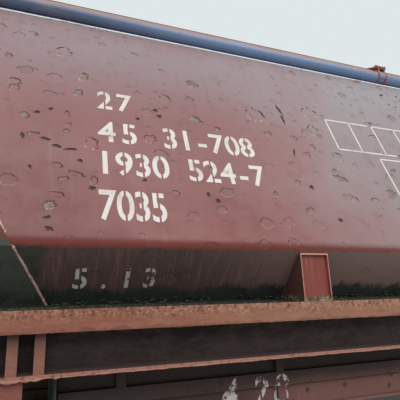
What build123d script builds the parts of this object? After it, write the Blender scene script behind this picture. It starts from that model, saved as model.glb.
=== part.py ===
"""Self-discharging bogie hopper wagon with a saddle floor, side flaps and an opening roof.

Millimetres. X runs along the wagon, Y across it, Z up. The origin lies under the middle of the
wagon, level with the lowest point of the wheel flanges. "left" is the +Y side, "front" is +X.
"""
import os
from math import cos, hypot, pi, radians, sin, sqrt, tan

from build123d import *

# Rail level and running gear
RAIL = 30                   # depth of the wheel flanges, so the height of the rail top
WHEEL_RADIUS = 460
AXLE_RADIUS = 80
JOURNAL_RADIUS = 65
JOURNAL_Y = 1000            # middle of an axle box
JOURNAL_END = 88            # from there to the end of the axle
WHEEL_BACK_Y = 680          # inner face of a wheel
TREAD_WIDTH = 135
RIM_DEPTH = 65
HUB_RADIUS = 122
WHEEL_SIDES = 24
TUBE_SIDES = 24
PIN_SIDES = 6
WHEELBASE = 1800            # of one bogie
PIVOT_X = 3750              # bogie pivot from the middle of the wagon
JOURNAL_CLEARANCE = 0.5

# Lengths and buffers
HEADSTOCK_X = 5650          # outer face
HEADSTOCK_DEPTH = 90
HEADSTOCK_LOW = RAIL + 910
HEADSTOCK_PLATE = 12
BUFFER_LENGTH = 620
BUFFER_Y = 875
BUFFER_Z = RAIL + 1060
BUFFER_HEAD_RADIUS = 225

# Body section
BEND_Y = 1450
BEND_Z = RAIL + 1555
BEND_RADIUS = 55
WALL = 6
WALL_LEAN = 28.1            # upper wall, from upright
LOWER_SLOPE = 54            # lower side slope, from level
FOOT_Z = RAIL + 1165
FLOOR = 8
LIP_Y = 1232                # outer edge of the saddle
LIP_Z = RAIL + 700
CHORD_RADIUS = 57
CHORD_Y = 600
CHORD_HEIGHT = 3190
CHORD_Z = RAIL + CHORD_HEIGHT
TIE_HEIGHT = 2560

# Hopper ends
END_X = 3850                # end slope at the height of the bend
END_SLOPE = 60
SEAT = 0.3                  # gap between pieces that rest on each other

# Sole bar
SOLE_WEB_Y = 1355           # inner face of the web
SOLE_WEB = 10
SOLE_OUTER_Y = 1470
SOLE_FLANGE_Y = 1455
SOLE_TOP = RAIL + 1250
SOLE_BOTTOM = RAIL + 961
SOLE_FLANGE = 16
SOLE_LIP = 98
POST_WIDTH = 45

# Discharge flaps
FLAP_GAP_X = 30             # inner end of a flap from the middle of the wagon
FLAP_END_X = 3600
FLAP_BOTTOM = RAIL + 640
FLAP_LEAN = 8
FLAP_PLATE = 8
FLAP_LIP_CLEARANCE = 6
FLAP_RIB = 25
HINGE_Y = 1215
HINGE_Z = RAIL + 1135
HINGE_PIN_RADIUS = 12
HINGE_CLEARANCE = 0.5
HINGE_EYE_RADIUS = 22
HINGE_EYE_LENGTH = 50
LUG_PLATE = 12
LUG_SIDE_CLEARANCE = 5
HINGE_BEAM_Y = 1225
HINGE_BEAM_WIDTH = 40
HINGE_BEAM_Z = RAIL + 1170

# Roof lids
LID_HINGE_Y = 625
LID_HINGE_RISE = 88         # from the chord's middle
LID_HINGE_Z = CHORD_Z + LID_HINGE_RISE
LID_RIDGE_RISE = 195
LID_RIDGE_Z = CHORD_Z + LID_RIDGE_RISE
LID_EDGE_Y = 545
LID_EDGE_RISE = 110
LID_EDGE_Z = CHORD_Z + LID_EDGE_RISE
LID_SHEET = 5
LID_RIM = 45
LID_GAP = 6                 # half the gap between two lids
LID_PIN_RADIUS = 11
LID_EYE_RADIUS = 20
LID_EYE_LENGTH = 46

# Struts and frames
STRUT_WIDTH = 188
STRUT_PLATE = 8
STRUT_TOP_Y = 1434
STRUT_TOP_Z = RAIL + 1515
STRUT_EDGE = 6              # step from the sole bar's edge to the strut
STRUT_RECESS = 16
CENTRE_SILL_WIDTH = 300
CENTRE_SILL_Z = RAIL + 970
FRAME_PLATE = 12
BOLSTER_WIDTH = 220
BOLSTER_TOP = RAIL + 1160
BOLSTER_RISE = 60           # of its underside towards the sole bar
PIVOT_Z = RAIL + 925
PIVOT_RADIUS = 215

# Bogie frame
BEAM_INNER_Y = 945
BEAM_OUTER_Y = 1055
BEAM_TOP = RAIL + 726
BEAM_DEPTH = 200            # at the middle
BEAM_FLANGE = 14
BEAM_FLANGE_WIDTH = 150
BEAM_END = 1330
HOOD_Z = RAIL + 660
HOOD_LIP = 20               # collar round the head of a spring
GUIDE_BOTTOM = RAIL + 370
GUIDE = 40
BOX_HALF = 150
BOX_CLEARANCE = 15          # between axle box and guide
WING_Z = RAIL + 355         # top of an axle box's wing, which carries the springs
WING_DEPTH = 35
SPRING_RADIUS = 82
COILS = 4
COIL_DEPTH = 18
SPRING_CLEARANCE = 3
SPRING_X = BOX_HALF + BOX_CLEARANCE + GUIDE + SPRING_CLEARANCE + SPRING_RADIUS    # from the axle
TRANSOM_HALF = 160

AXLE_Z = RAIL + WHEEL_RADIUS
slope_run = 1 / tan(radians(LOWER_SLOPE))
end_run = 1 / tan(radians(END_SLOPE))
lean = radians(WALL_LEAN)
flap_lean = radians(FLAP_LEAN)
foot_y = BEND_Y - (BEND_Z - FOOT_Z) * slope_run
saddle_ridge_z = LIP_Z + LIP_Y

SIDES = (("left", 1), ("right", -1))
ENDS = (("front", 1), ("rear", -1))

os.makedirs("parts", exist_ok=True)


def save(name, *shapes):
    """Write one node, made of solids that share a body."""
    solids = [solid for shape in shapes for solid in shape.solids()]
    whole = solids[0] if len(solids) == 1 else Compound(solids)
    export_step(whole, f"parts/{name}.step")


def block(x0, x1, y0, y1, z0, z1):
    """Box between two corners."""
    return Pos((x0 + x1) / 2, (y0 + y1) / 2, (z0 + z1) / 2) * Box(x1 - x0, y1 - y0, z1 - z0)


def along_x(points, x0, x1):
    """Solid with a section of (y, z) points, drawn along the wagon."""
    face = make_face(Polyline([(x0, y, z) for y, z in points], close=True))
    return extrude(face, amount=x1 - x0, dir=(1, 0, 0))


def along_y(points, y0, y1):
    """Solid with a section of (x, z) points, drawn across the wagon."""
    face = make_face(Polyline([(x, y0, z) for x, z in points], close=True))
    return extrude(face, amount=y1 - y0, dir=(0, 1, 0))


def bar(start, end, radius, sides=8):
    """Round bar or tube between two points, with flats, and its corners at the radius."""
    axis = Vector(*end) - Vector(*start)
    plane = Plane(origin=start, z_dir=axis)
    return extrude(plane * RegularPolygon(radius, sides), amount=axis.length)


def bore(start, end, radius, sides=8, corner=0):
    """Hole for a bar that turns in it: the flats lie at the radius, one facing the bar's corner."""
    axis = Vector(*end) - Vector(*start)
    plane = Plane(origin=start, z_dir=axis)
    outline = RegularPolygon(radius, sides, major_radius=False, rotation=corner - 180 / sides)
    return extrude(plane * outline, amount=axis.length)


def turned(points, centre, direction, sides=24):
    """Turned piece in narrow flats, from (place along its axis, radius) points."""
    plane = Plane(origin=centre, z_dir=direction)
    angles = [(index + 0.5) * 2 * pi / sides for index in range(sides)]
    rings = []
    for along, radius in points:
        corner = radius / cos(pi / sides)
        rings.append([plane.from_local_coords(Vector(corner * cos(a), corner * sin(a), along)) for a in angles])
    faces = [Face(Wire.make_polygon(rings[0])), Face(Wire.make_polygon(rings[-1]))]
    for near, far in zip(rings, rings[1:]):
        for index in range(sides):
            after = (index + 1) % sides
            faces.append(Face(Wire.make_polygon([near[index], near[after], far[after], far[index]])))
    return Solid(Shell(faces))


def on_side(shape, side):
    """A piece drawn on the left side, for either side."""
    return shape if side > 0 else mirror(shape, about=Plane.XZ)


def on_end(shape, end):
    """A piece drawn at the front end, for either end."""
    return shape if end > 0 else mirror(shape, about=Plane.YZ)


def slope_y(z):
    """Outer face of the lower side slope at a height."""
    return BEND_Y - (BEND_Z - z) * slope_run


def end_x(z, out=0):
    """Inner face of the end slope at a height, or a face a distance outside it."""
    return END_X + (z - BEND_Z) * end_run + out / sin(radians(END_SLOPE))


def wall_point(up, out=0):
    """Point of the upper wall's outer face, up along it from the bend, and out from it."""
    return (BEND_Y - up * sin(lean) + out * cos(lean), BEND_Z + up * cos(lean) + out * sin(lean))


def wall_height():
    """Distance along the wall from the bend to where it meets the chord tube."""
    along = (BEND_Y - CHORD_Y) * sin(lean) + (CHORD_Z - BEND_Z) * cos(lean)
    beside = (CHORD_Y - BEND_Y) * cos(lean) + (CHORD_Z - BEND_Z) * sin(lean)
    return along - sqrt((CHORD_RADIUS + SEAT) ** 2 - beside ** 2)


WALL_HEIGHT = wall_height()
top_y, top_z = wall_point(WALL_HEIGHT)
end_chord_x = end_x(CHORD_Z, WALL / 2)


def bend_point(inset):
    """Corner of the bend, with both plates' outer faces moved inward."""
    slope = radians(LOWER_SLOPE)
    across = (cos(slope) + sin(lean)) / cos(slope - lean)
    down = (cos(lean) - sin(slope)) / cos(slope - lean)
    return BEND_Y - inset * across, BEND_Z + inset * down


def foot_point(inset):
    """Lower edge of the side slope, moved inward."""
    slope = radians(LOWER_SLOPE)
    return foot_y - inset * sin(slope), FOOT_Z + inset * cos(slope)


def hopper_section(inset):
    """Closed outline of the hopper's inside, down to the saddle."""
    half = [(LIP_Y, LIP_Z), foot_point(0), foot_point(inset), bend_point(inset)]
    half += [wall_point(WALL_HEIGHT, -inset)]
    if inset == 0:
        half.pop(2)
    return half + [(-y, z) for y, z in reversed(half)] + [(0, saddle_ridge_z)]


def end_prism(low, high, out):
    """Everything between the two end slopes, out to a distance outside their inner faces."""
    points = [(end_x(low, out), low), (end_x(high, out), high)]
    points += [(-x, z) for x, z in reversed(points)]
    return along_y(points, -2 * BEND_Y, 2 * BEND_Y)


inside_ends = end_prism(LIP_Z - 100, CHORD_Z + 300, 0)
outside_ends = end_prism(LIP_Z - 100, CHORD_Z + 300, WALL + SEAT)


def body_side():
    """Pressed side plate: upper wall, round bend and lower slope, cut by the end slopes."""
    outer = [foot_point(0), bend_point(0), wall_point(WALL_HEIGHT)]
    inner = [wall_point(WALL_HEIGHT, -WALL), bend_point(WALL), foot_point(WALL)]
    plate = along_x(outer + inner, -HEADSTOCK_X, HEADSTOCK_X)
    for inset in (WALL, 0):
        y, z = bend_point(inset)
        corner = [edge for edge in plate.edges().filter_by(Axis.X)
                  if hypot(edge.center().Y - y, edge.center().Z - z) < SEAT]
        plate = fillet(corner, BEND_RADIUS - inset)
    return plate & inside_ends


def end_slope():
    """Sloping end plate with its two folded-in edges resting on the section's outline."""
    section = along_x(hopper_section(0), 0, HEADSTOCK_X)
    corners = section.edges().filter_by(Axis.X)
    corners = [e for e in corners if abs(abs(e.center().Y) - BEND_Y) < 0.5]
    section = fillet(corners, BEND_RADIUS)
    reach = (CHORD_RADIUS + SEAT) * sin(radians(END_SLOPE))
    high = CHORD_Z - reach
    low = LIP_Z - 50
    sheet = [(end_x(low), low), (end_x(low, WALL), low)]
    sheet += [(end_x(high, WALL), high), (end_x(high), high)]
    return along_y(sheet, -2 * BEND_Y, 2 * BEND_Y) & section


def saddle():
    """Roof-shaped floor that sends the load to both sides, with its ridge stiffened."""
    drop = FLOOR * sqrt(2)
    outline = [(LIP_Y, LIP_Z), (0, saddle_ridge_z), (-LIP_Y, LIP_Z)]
    outline += [(-LIP_Y, LIP_Z - drop), (0, saddle_ridge_z - drop), (LIP_Y, LIP_Z - drop)]
    return along_x(outline, -HEADSTOCK_X, HEADSTOCK_X) & inside_ends


# Hopper
for name, side in SIDES:
    save(f"body_side_{name}", on_side(body_side(), side))
for name, end in ENDS:
    save(f"end_slope_{name}", on_end(end_slope(), end))
save("saddle_floor", saddle())


# Saddle frames: upright plates under the saddle, standing over the centre sill
# columns: place along the wagon
SADDLE_FRAMES = (-2200, -1100, 0, 1100, 2200)
HOLE_RADIUS = 140
SILL_TOP = SOLE_TOP


def saddle_frame(x):
    under = saddle_ridge_z - FLOOR * sqrt(2) - SEAT
    base = CENTRE_SILL_Z
    reach = under - base
    sill = CENTRE_SILL_WIDTH / 2 + SEAT
    points = [(-reach, base), (-sill, base), (-sill, SILL_TOP + SEAT), (sill, SILL_TOP + SEAT)]
    points += [(sill, base), (reach, base), (0, under)]
    plate = along_x(points, x - FRAME_PLATE / 2, x + FRAME_PLATE / 2)
    hole_z = (SILL_TOP + under) / 2
    return plate - bore((x - 50, 0, hole_z), (x + 50, 0, hole_z), HOLE_RADIUS, 16)


save("saddle_frames", *[saddle_frame(x) for x in SADDLE_FRAMES])


# Outlet divider between the two flaps of a side, from the saddle's lip to the sole bar
def outlet_divider():
    half = FRAME_PLATE / 2
    inner = [(LIP_Y - 150, LIP_Z + 150 + SEAT), (LIP_Y, LIP_Z + SEAT), (LIP_Y, LIP_Z + 80)]
    inner += [(SOLE_WEB_Y - SEAT, SOLE_BOTTOM), (SOLE_WEB_Y - SEAT, SOLE_TOP - SOLE_WEB - SEAT)]
    inner += [(slope_y(SOLE_TOP) + 20, SOLE_TOP - SOLE_WEB - SEAT), (foot_y + 4, FOOT_Z - SEAT)]
    inner += [(foot_y - 60, FOOT_Z - SEAT)]
    return along_x(inner, -half, half)


save("outlet_dividers", *[on_side(outlet_divider(), side) for _, side in SIDES])


# Chord tubes along the top, each with the lugs that carry the roof lids
# columns: place along the wagon
LUGS_X = (-4200, -840, 840, 4200)
STRAP = 6
STRAP_HALF = 35


def lid_lug(x):
    """Two ears on the chord with their pin, and the strap that is welded round the tube."""
    ears = []
    for place in (-1, 1):
        middle = x + place * (LID_EYE_LENGTH / 2 + LUG_SIDE_CLEARANCE + LUG_PLATE / 2)
        ear = along_x([(CHORD_Y - 30, CHORD_Z + 40), (CHORD_Y + 50, CHORD_Z + 15),
                       (LID_HINGE_Y + LID_EYE_RADIUS, LID_HINGE_Z),
                       (LID_HINGE_Y + 8, LID_HINGE_Z + LID_EYE_RADIUS),
                       (LID_HINGE_Y - 8, LID_HINGE_Z + LID_EYE_RADIUS),
                       (LID_HINGE_Y - LID_EYE_RADIUS, LID_HINGE_Z)],
                      middle - LUG_PLATE / 2, middle + LUG_PLATE / 2)
        ears.append(ear)
    reach = LID_EYE_LENGTH / 2 + LUG_SIDE_CLEARANCE + LUG_PLATE + 8
    pin = bar((x - reach, LID_HINGE_Y, LID_HINGE_Z), (x + reach, LID_HINGE_Y, LID_HINGE_Z),
              LID_PIN_RADIUS, PIN_SIDES)
    ring = bore((x - STRAP_HALF, CHORD_Y, CHORD_Z), (x + STRAP_HALF, CHORD_Y, CHORD_Z), CHORD_RADIUS + STRAP, TUBE_SIDES)
    cut = block(x - 40, x + 40, CHORD_Y - 100, CHORD_Y - 10, CHORD_Z - 100, CHORD_Z + 100)
    cut += block(x - 40, x + 40, CHORD_Y - 100, CHORD_Y + 100, CHORD_Z - 100, CHORD_Z - 25)
    return ears[0] + ears[1] + pin + (ring - cut)


for name, side in SIDES:
    chord = bar((-end_chord_x, CHORD_Y, CHORD_Z), (end_chord_x, CHORD_Y, CHORD_Z), CHORD_RADIUS, TUBE_SIDES)
    for x in LUGS_X:
        chord += lid_lug(x)
    save(f"top_chord_{name}", on_side(chord, side))

end_beam_y = CHORD_Y - CHORD_RADIUS - SEAT
end_beams = [bar((end * end_chord_x, -end_beam_y, CHORD_Z), (end * end_chord_x, end_beam_y, CHORD_Z),
                 CHORD_RADIUS, TUBE_SIDES) for _, end in ENDS]
save("roof_end_beams", *end_beams)


# Tie tubes across the inside
# columns: place along the wagon
TIES_X = (-2250, -750, 750, 2250)
TIE_Z = RAIL + TIE_HEIGHT
TIE_RADIUS = 38
inner_space = along_x(hopper_section(WALL + SEAT), -HEADSTOCK_X, HEADSTOCK_X)
ties = [bar((x, -BEND_Y, TIE_Z), (x, BEND_Y, TIE_Z), TIE_RADIUS, 12) & inner_space for x in TIES_X]
save("inner_ties", *ties)


# Sole bars, with web stiffeners over the bogies and jacking plates under them
# columns: place of a stiffener from the pivot
POSTS_FROM_PIVOT = (-55, 55)
JACK_LENGTH = 210
JACK_DEPTH = 130
JACK_PLATE = 20


def sole_bar():
    web_outer = SOLE_WEB_Y + SOLE_WEB
    inner_y = slope_y(SOLE_TOP) + SEAT
    lip_inner = SOLE_OUTER_Y - SOLE_WEB
    under_top = SOLE_TOP - SOLE_WEB
    section = [(SOLE_WEB_Y, SOLE_BOTTOM), (SOLE_FLANGE_Y, SOLE_BOTTOM)]
    section += [(SOLE_FLANGE_Y, SOLE_BOTTOM + SOLE_FLANGE), (web_outer, SOLE_BOTTOM + SOLE_FLANGE)]
    section += [(web_outer, under_top), (lip_inner, under_top), (lip_inner, SOLE_TOP - SOLE_LIP)]
    section += [(SOLE_OUTER_Y, SOLE_TOP - SOLE_LIP), (SOLE_OUTER_Y, SOLE_TOP), (inner_y, SOLE_TOP)]
    section += [(inner_y, under_top), (SOLE_WEB_Y, under_top)]
    length = HEADSTOCK_X - HEADSTOCK_DEPTH - SEAT
    bar = along_x(section, -length, length)
    for pivot in (-PIVOT_X, PIVOT_X):
        for place in POSTS_FROM_PIVOT:
            x = pivot + place
            bar += block(x - POST_WIDTH / 2, x + POST_WIDTH / 2, web_outer, web_outer + 75,
                         SOLE_BOTTOM + SOLE_FLANGE, under_top)
        end = 1 if pivot > 0 else -1
        x0 = pivot + end * 110
        jack = block(x0 - JACK_LENGTH / 2, x0 + JACK_LENGTH / 2, SOLE_FLANGE_Y - JACK_PLATE - 12,
                     SOLE_FLANGE_Y - 12, SOLE_BOTTOM - JACK_DEPTH, SOLE_BOTTOM)
        corners = jack.edges().filter_by(Axis.Y).group_by(Axis.Z)[-1]
        bar += fillet(corners, 25)
    return bar


for name, side in SIDES:
    save(f"sole_bar_{name}", on_side(sole_bar(), side))


# Struts: open channels from just under the bend down to the sole bar's edge
# columns: place along the wagon
STRUTS_X = (-2250, -750, 750, 2250)


def strut(x):
    """Two cheeks, a recessed face between them and a cap, all ending on the side slope."""
    half = STRUT_WIDTH / 2
    gap = SEAT / sin(radians(LOWER_SLOPE))
    foot_z = SOLE_TOP + SEAT
    foot_out = SOLE_OUTER_Y - STRUT_EDGE
    cheek = [(foot_out, foot_z), (STRUT_TOP_Y, STRUT_TOP_Z), (slope_y(STRUT_TOP_Z) + gap, STRUT_TOP_Z)]
    cheek += [(slope_y(foot_z) + gap, foot_z)]
    body = along_x(cheek, x - half, x + half)
    rise = (foot_out - STRUT_TOP_Y) / (STRUT_TOP_Z - foot_z)
    # columns: depth of a face behind the cheeks' edges
    recess = [(foot_out - depth + rise * 50, foot_z - 50) for depth in (-50, STRUT_RECESS)]
    recess += [(STRUT_TOP_Y - depth, STRUT_TOP_Z - STRUT_PLATE) for depth in (STRUT_RECESS, -50)]
    body -= along_x(recess, x - half + STRUT_PLATE, x + half - STRUT_PLATE)
    behind = STRUT_RECESS + STRUT_PLATE
    hollow = [(foot_out - behind + rise * 50, foot_z - 50), (slope_y(foot_z - 50) - 50, foot_z - 50)]
    hollow += [(slope_y(STRUT_TOP_Z) - 50, STRUT_TOP_Z - STRUT_PLATE)]
    hollow += [(STRUT_TOP_Y - behind, STRUT_TOP_Z - STRUT_PLATE)]
    return body - along_x(hollow, x - half + STRUT_PLATE, x + half - STRUT_PLATE)


for name, side in SIDES:
    save(f"side_struts_{name}", *[on_side(strut(x), side) for x in STRUTS_X])


# Flap hinge beams, with two ears and a pin at each hinge
# columns: place along the wagon, for the front half
HINGES_X = (330, 1250, 2380, 3300)


def hinge_ears(x):
    shape = None
    for place in (-1, 1):
        middle = x + place * (HINGE_EYE_LENGTH / 2 + LUG_SIDE_CLEARANCE + LUG_PLATE / 2)
        ear = along_x([(HINGE_Y - 12, HINGE_Z - HINGE_EYE_RADIUS), (HINGE_Y + 12, HINGE_Z - HINGE_EYE_RADIUS),
                       (HINGE_Y + HINGE_EYE_RADIUS, HINGE_Z), (HINGE_BEAM_Y + HINGE_BEAM_WIDTH, HINGE_BEAM_Z),
                       (HINGE_BEAM_Y, HINGE_BEAM_Z + 10), (HINGE_Y - HINGE_EYE_RADIUS, HINGE_Z + 8)],
                      middle - LUG_PLATE / 2, middle + LUG_PLATE / 2)
        shape = ear if shape is None else shape + ear
    reach = HINGE_EYE_LENGTH / 2 + LUG_SIDE_CLEARANCE + LUG_PLATE + 6
    return shape + bar((x - reach, HINGE_Y, HINGE_Z), (x + reach, HINGE_Y, HINGE_Z), HINGE_PIN_RADIUS, PIN_SIDES)


def hinge_beam():
    """One bar for each half of the side, so that the divider plate passes between them."""
    halves = []
    for end in (-1, 1):
        x0, x1 = sorted((end * FLAP_GAP_X, end * FLAP_END_X))
        bar = block(x0, x1, HINGE_BEAM_Y, HINGE_BEAM_Y + HINGE_BEAM_WIDTH, HINGE_BEAM_Z, SOLE_TOP - SOLE_WEB - SEAT)
        for x in HINGES_X:
            bar += hinge_ears(end * x)
        halves.append(bar)
    return halves


for name, side in SIDES:
    save(f"flap_hinge_beam_{name}", *[on_side(half, side) for half in hinge_beam()])


# Discharge flaps
def flap_line(z, out=0):
    """Inner face of a closed flap at a height, or a face a distance outside it."""
    lip_y = LIP_Y + FLAP_LIP_CLEARANCE
    return lip_y - (z - LIP_Z) * tan(flap_lean) + out / cos(flap_lean)


def flap(x0, x1):
    top = FOOT_Z - 12
    low = FLAP_BOTTOM
    plate = [(flap_line(low), low), (flap_line(low, FLAP_PLATE), low)]
    plate += [(flap_line(top, FLAP_PLATE), top), (flap_line(top), top)]
    shape = along_x(plate, x0, x1)
    out = FLAP_PLATE + FLAP_RIB
    # columns: lower edge of a rib along the flap, its height
    for rib_z, rib_height in ((low, 12), (low + 130, 70), (low + 330, 50)):
        face = [(flap_line(rib_z), rib_z), (flap_line(rib_z, out), rib_z)]
        face += [(flap_line(rib_z + rib_height, out), rib_z + rib_height)]
        face += [(flap_line(rib_z + rib_height), rib_z + rib_height)]
        shape += along_x(face, x0, x1)
    for x in HINGES_X:
        middle = x if x0 > 0 else -x
        arm = [(flap_line(low + 60), low + 60), (flap_line(low + 60, out), low + 60)]
        arm += [(flap_line(HINGE_Z - 60, out), HINGE_Z - 60), (HINGE_Y + 8, HINGE_Z - HINGE_EYE_RADIUS + 3)]
        arm += [(HINGE_Y, HINGE_Z + HINGE_EYE_RADIUS - 3), (flap_line(top - 5), top - 5)]
        shape += along_x(arm, middle - HINGE_EYE_LENGTH / 2, middle + HINGE_EYE_LENGTH / 2)
        shape += bar((middle - HINGE_EYE_LENGTH / 2, HINGE_Y, HINGE_Z),
                     (middle + HINGE_EYE_LENGTH / 2, HINGE_Y, HINGE_Z), HINGE_EYE_RADIUS)
        shape -= bore((middle - 60, HINGE_Y, HINGE_Z), (middle + 60, HINGE_Y, HINGE_Z),
                      HINGE_PIN_RADIUS + HINGE_CLEARANCE, PIN_SIDES)
    return shape


for end_name, end in ENDS:
    x0, x1 = sorted((end * FLAP_GAP_X, end * FLAP_END_X))
    for side_name, side in SIDES:
        save(f"flap_{end_name}_{side_name}", on_side(flap(x0, x1), side))


# Roof lids
lid_end_x = end_chord_x + CHORD_RADIUS - 10


def lid(x0, x1):
    """Slightly arched sheet with folded rims and cross ribs, and an arm at each hinge."""
    edge = (LID_EDGE_Y, LID_EDGE_Z)
    ridge = (LID_GAP, LID_RIDGE_Z)
    crown = ((edge[0] + ridge[0]) / 2, (edge[1] + ridge[1]) / 2 + 24)
    outer = ThreePointArc((x0, *edge), (x0, *crown), (x0, *ridge))
    inner = ThreePointArc((x0, ridge[0], ridge[1] - LID_SHEET), (x0, crown[0], crown[1] - LID_SHEET),
                          (x0, edge[0], edge[1] - LID_SHEET))
    ends = [Line(outer @ 1, inner @ 0), Line(inner @ 1, outer @ 0)]
    sheet = extrude(make_face(Wire([outer, ends[0], inner, ends[1]])), amount=x1 - x0, dir=(1, 0, 0))
    under = make_face(Wire([outer, Line(outer @ 1, (x0, LID_GAP, LID_EDGE_Z - 20)),
                            Line((x0, LID_GAP, LID_EDGE_Z - 20), (x0, LID_EDGE_Y, LID_EDGE_Z - 20)),
                            Line((x0, LID_EDGE_Y, LID_EDGE_Z - 20), outer @ 0)]))
    shape = sheet
    length = x1 - x0
    rib_count = 5
    pitch = (length - LID_SHEET) / (rib_count - 1)
    for index in range(rib_count):
        rib = extrude(under, amount=LID_SHEET, dir=(1, 0, 0))
        keep = block(x0, x0 + LID_SHEET, LID_GAP, LID_EDGE_Y, LID_RIDGE_Z - LID_RIM - 60, LID_RIDGE_Z + 60)
        shape += Pos(index * pitch, 0, 0) * (rib & keep)
    shape += block(x0, x1, LID_GAP, LID_GAP + LID_SHEET, LID_RIDGE_Z - LID_RIM, LID_RIDGE_Z - 2)
    shape += block(x0, x1, LID_EDGE_Y - LID_SHEET, LID_EDGE_Y, LID_EDGE_Z - 20, LID_EDGE_Z - 2)
    for x in LUGS_X:
        if not x0 < x < x1:
            continue
        half = LID_EYE_LENGTH / 2
        arm = [(LID_HINGE_Y, LID_HINGE_Z + LID_EYE_RADIUS - 2), (LID_HINGE_Y, LID_HINGE_Z),
               (LID_EDGE_Y - 4, LID_EDGE_Z - 8), (LID_EDGE_Y - 130, LID_EDGE_Z + 20),
               (LID_EDGE_Y - 130, LID_EDGE_Z + 62), (LID_EDGE_Y, LID_EDGE_Z + 20)]
        shape += along_x(arm, x - half, x + half)
        shape += bar((x - half, LID_HINGE_Y, LID_HINGE_Z), (x + half, LID_HINGE_Y, LID_HINGE_Z), LID_EYE_RADIUS)
        shape -= bore((x - 60, LID_HINGE_Y, LID_HINGE_Z), (x + 60, LID_HINGE_Y, LID_HINGE_Z),
                      LID_PIN_RADIUS + HINGE_CLEARANCE, PIN_SIDES)
    return shape


for end_name, end in ENDS:
    x0, x1 = sorted((end * LID_GAP, end * lid_end_x))
    for side_name, side in SIDES:
        save(f"roof_lid_{end_name}_{side_name}", on_side(lid(x0, x1), side))


# Centre sill: box beam from headstock to headstock
sill_end = HEADSTOCK_X - HEADSTOCK_DEPTH - SEAT
sill_half = CENTRE_SILL_WIDTH / 2
centre_sill = block(-sill_end, sill_end, -sill_half, sill_half, CENTRE_SILL_Z, SILL_TOP)
centre_sill -= block(-sill_end - 1, sill_end + 1, -sill_half + 10, sill_half - 10, CENTRE_SILL_Z + 12, SILL_TOP - 12)
save("centre_sill", centre_sill)


# Body bolsters over the bogies, in two arms beside the centre sill, with the pivot plate below it
def bolster():
    half = BOLSTER_WIDTH / 2
    inner = sill_half + SEAT
    outer = SOLE_WEB_Y - SEAT
    base = CENTRE_SILL_Z
    arm = along_x([(inner, base), (outer, base + BOLSTER_RISE), (outer, BOLSTER_TOP), (inner, BOLSTER_TOP)],
                  PIVOT_X - half, PIVOT_X + half)
    plate = turned([(PIVOT_Z + SEAT, PIVOT_RADIUS), (CENTRE_SILL_Z - SEAT, PIVOT_RADIUS)], (PIVOT_X, 0, 0), (0, 0, 1))
    return arm, mirror(arm, about=Plane.XZ), plate


save("body_bolsters", *[on_end(piece, end) for _, end in ENDS for piece in bolster()])


# Headstocks
def headstock():
    x0 = HEADSTOCK_X - HEADSTOCK_DEPTH
    half = SOLE_OUTER_Y - SEAT
    plate = HEADSTOCK_PLATE
    beam = block(x0, HEADSTOCK_X, -half, half, HEADSTOCK_LOW, SOLE_TOP)
    beam -= block(x0 - 1, HEADSTOCK_X - plate, -half + plate, half - plate, HEADSTOCK_LOW + plate, SOLE_TOP - plate)
    beam -= block(x0, HEADSTOCK_X + 1, -70, 70, BUFFER_Z - 50, BUFFER_Z + 50)
    for y in (SOLE_WEB_Y, BUFFER_Y, sill_half + plate):
        for side in (-1, 1):
            beam += block(x0, HEADSTOCK_X - plate, side * y - plate / 2, side * y + plate / 2,
                          HEADSTOCK_LOW + plate, SOLE_TOP - plate)
    return beam


for name, end in ENDS:
    save(f"headstock_{name}", on_end(headstock(), end))


# Buffers: a housing on a square plate, which is bolted to the headstock, and a plunger with its head
BUFFER_PLATE = 16
BUFFER_PLATE_HALF = 160
CASE_END = 340
# columns: place from the headstock's face, radius
BUFFER_CASE = ((BUFFER_PLATE, 132), (BUFFER_PLATE + 44, 112), (CASE_END, 106))
BUFFER_PLUNGER = ((CASE_END + SEAT, 88), (BUFFER_LENGTH - 45, 88), (BUFFER_LENGTH - 22, BUFFER_HEAD_RADIUS),
                  (BUFFER_LENGTH - 8, BUFFER_HEAD_RADIUS), (BUFFER_LENGTH, 120))


def buffer_case(y):
    face = HEADSTOCK_X + SEAT
    half = BUFFER_PLATE_HALF
    plate = block(face, face + BUFFER_PLATE, y - half, y + half, BUFFER_Z - half, BUFFER_Z + half)
    plate = chamfer(plate.edges().filter_by(Axis.X), half / 4)
    return plate + turned(BUFFER_CASE, (face, y, BUFFER_Z), (1, 0, 0))


def buffer_plunger(y):
    return turned(BUFFER_PLUNGER, (HEADSTOCK_X + SEAT, y, BUFFER_Z), (1, 0, 0))


for name, end in ENDS:
    save(f"buffer_cases_{name}", *[on_end(buffer_case(s * BUFFER_Y), end) for _, s in SIDES])
    save(f"buffer_heads_{name}", *[on_end(buffer_plunger(s * BUFFER_Y), end) for _, s in SIDES])


# Draw hook with the screw coupling hanging from it
LINK_LENGTH = 190
LINK_HALF = 58
LINK_PLATE = 12
SCREW_LENGTH = 230
SCREW_RADIUS = 20
NUT_RADIUS = 26
BOW_LENGTH = 220


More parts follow.
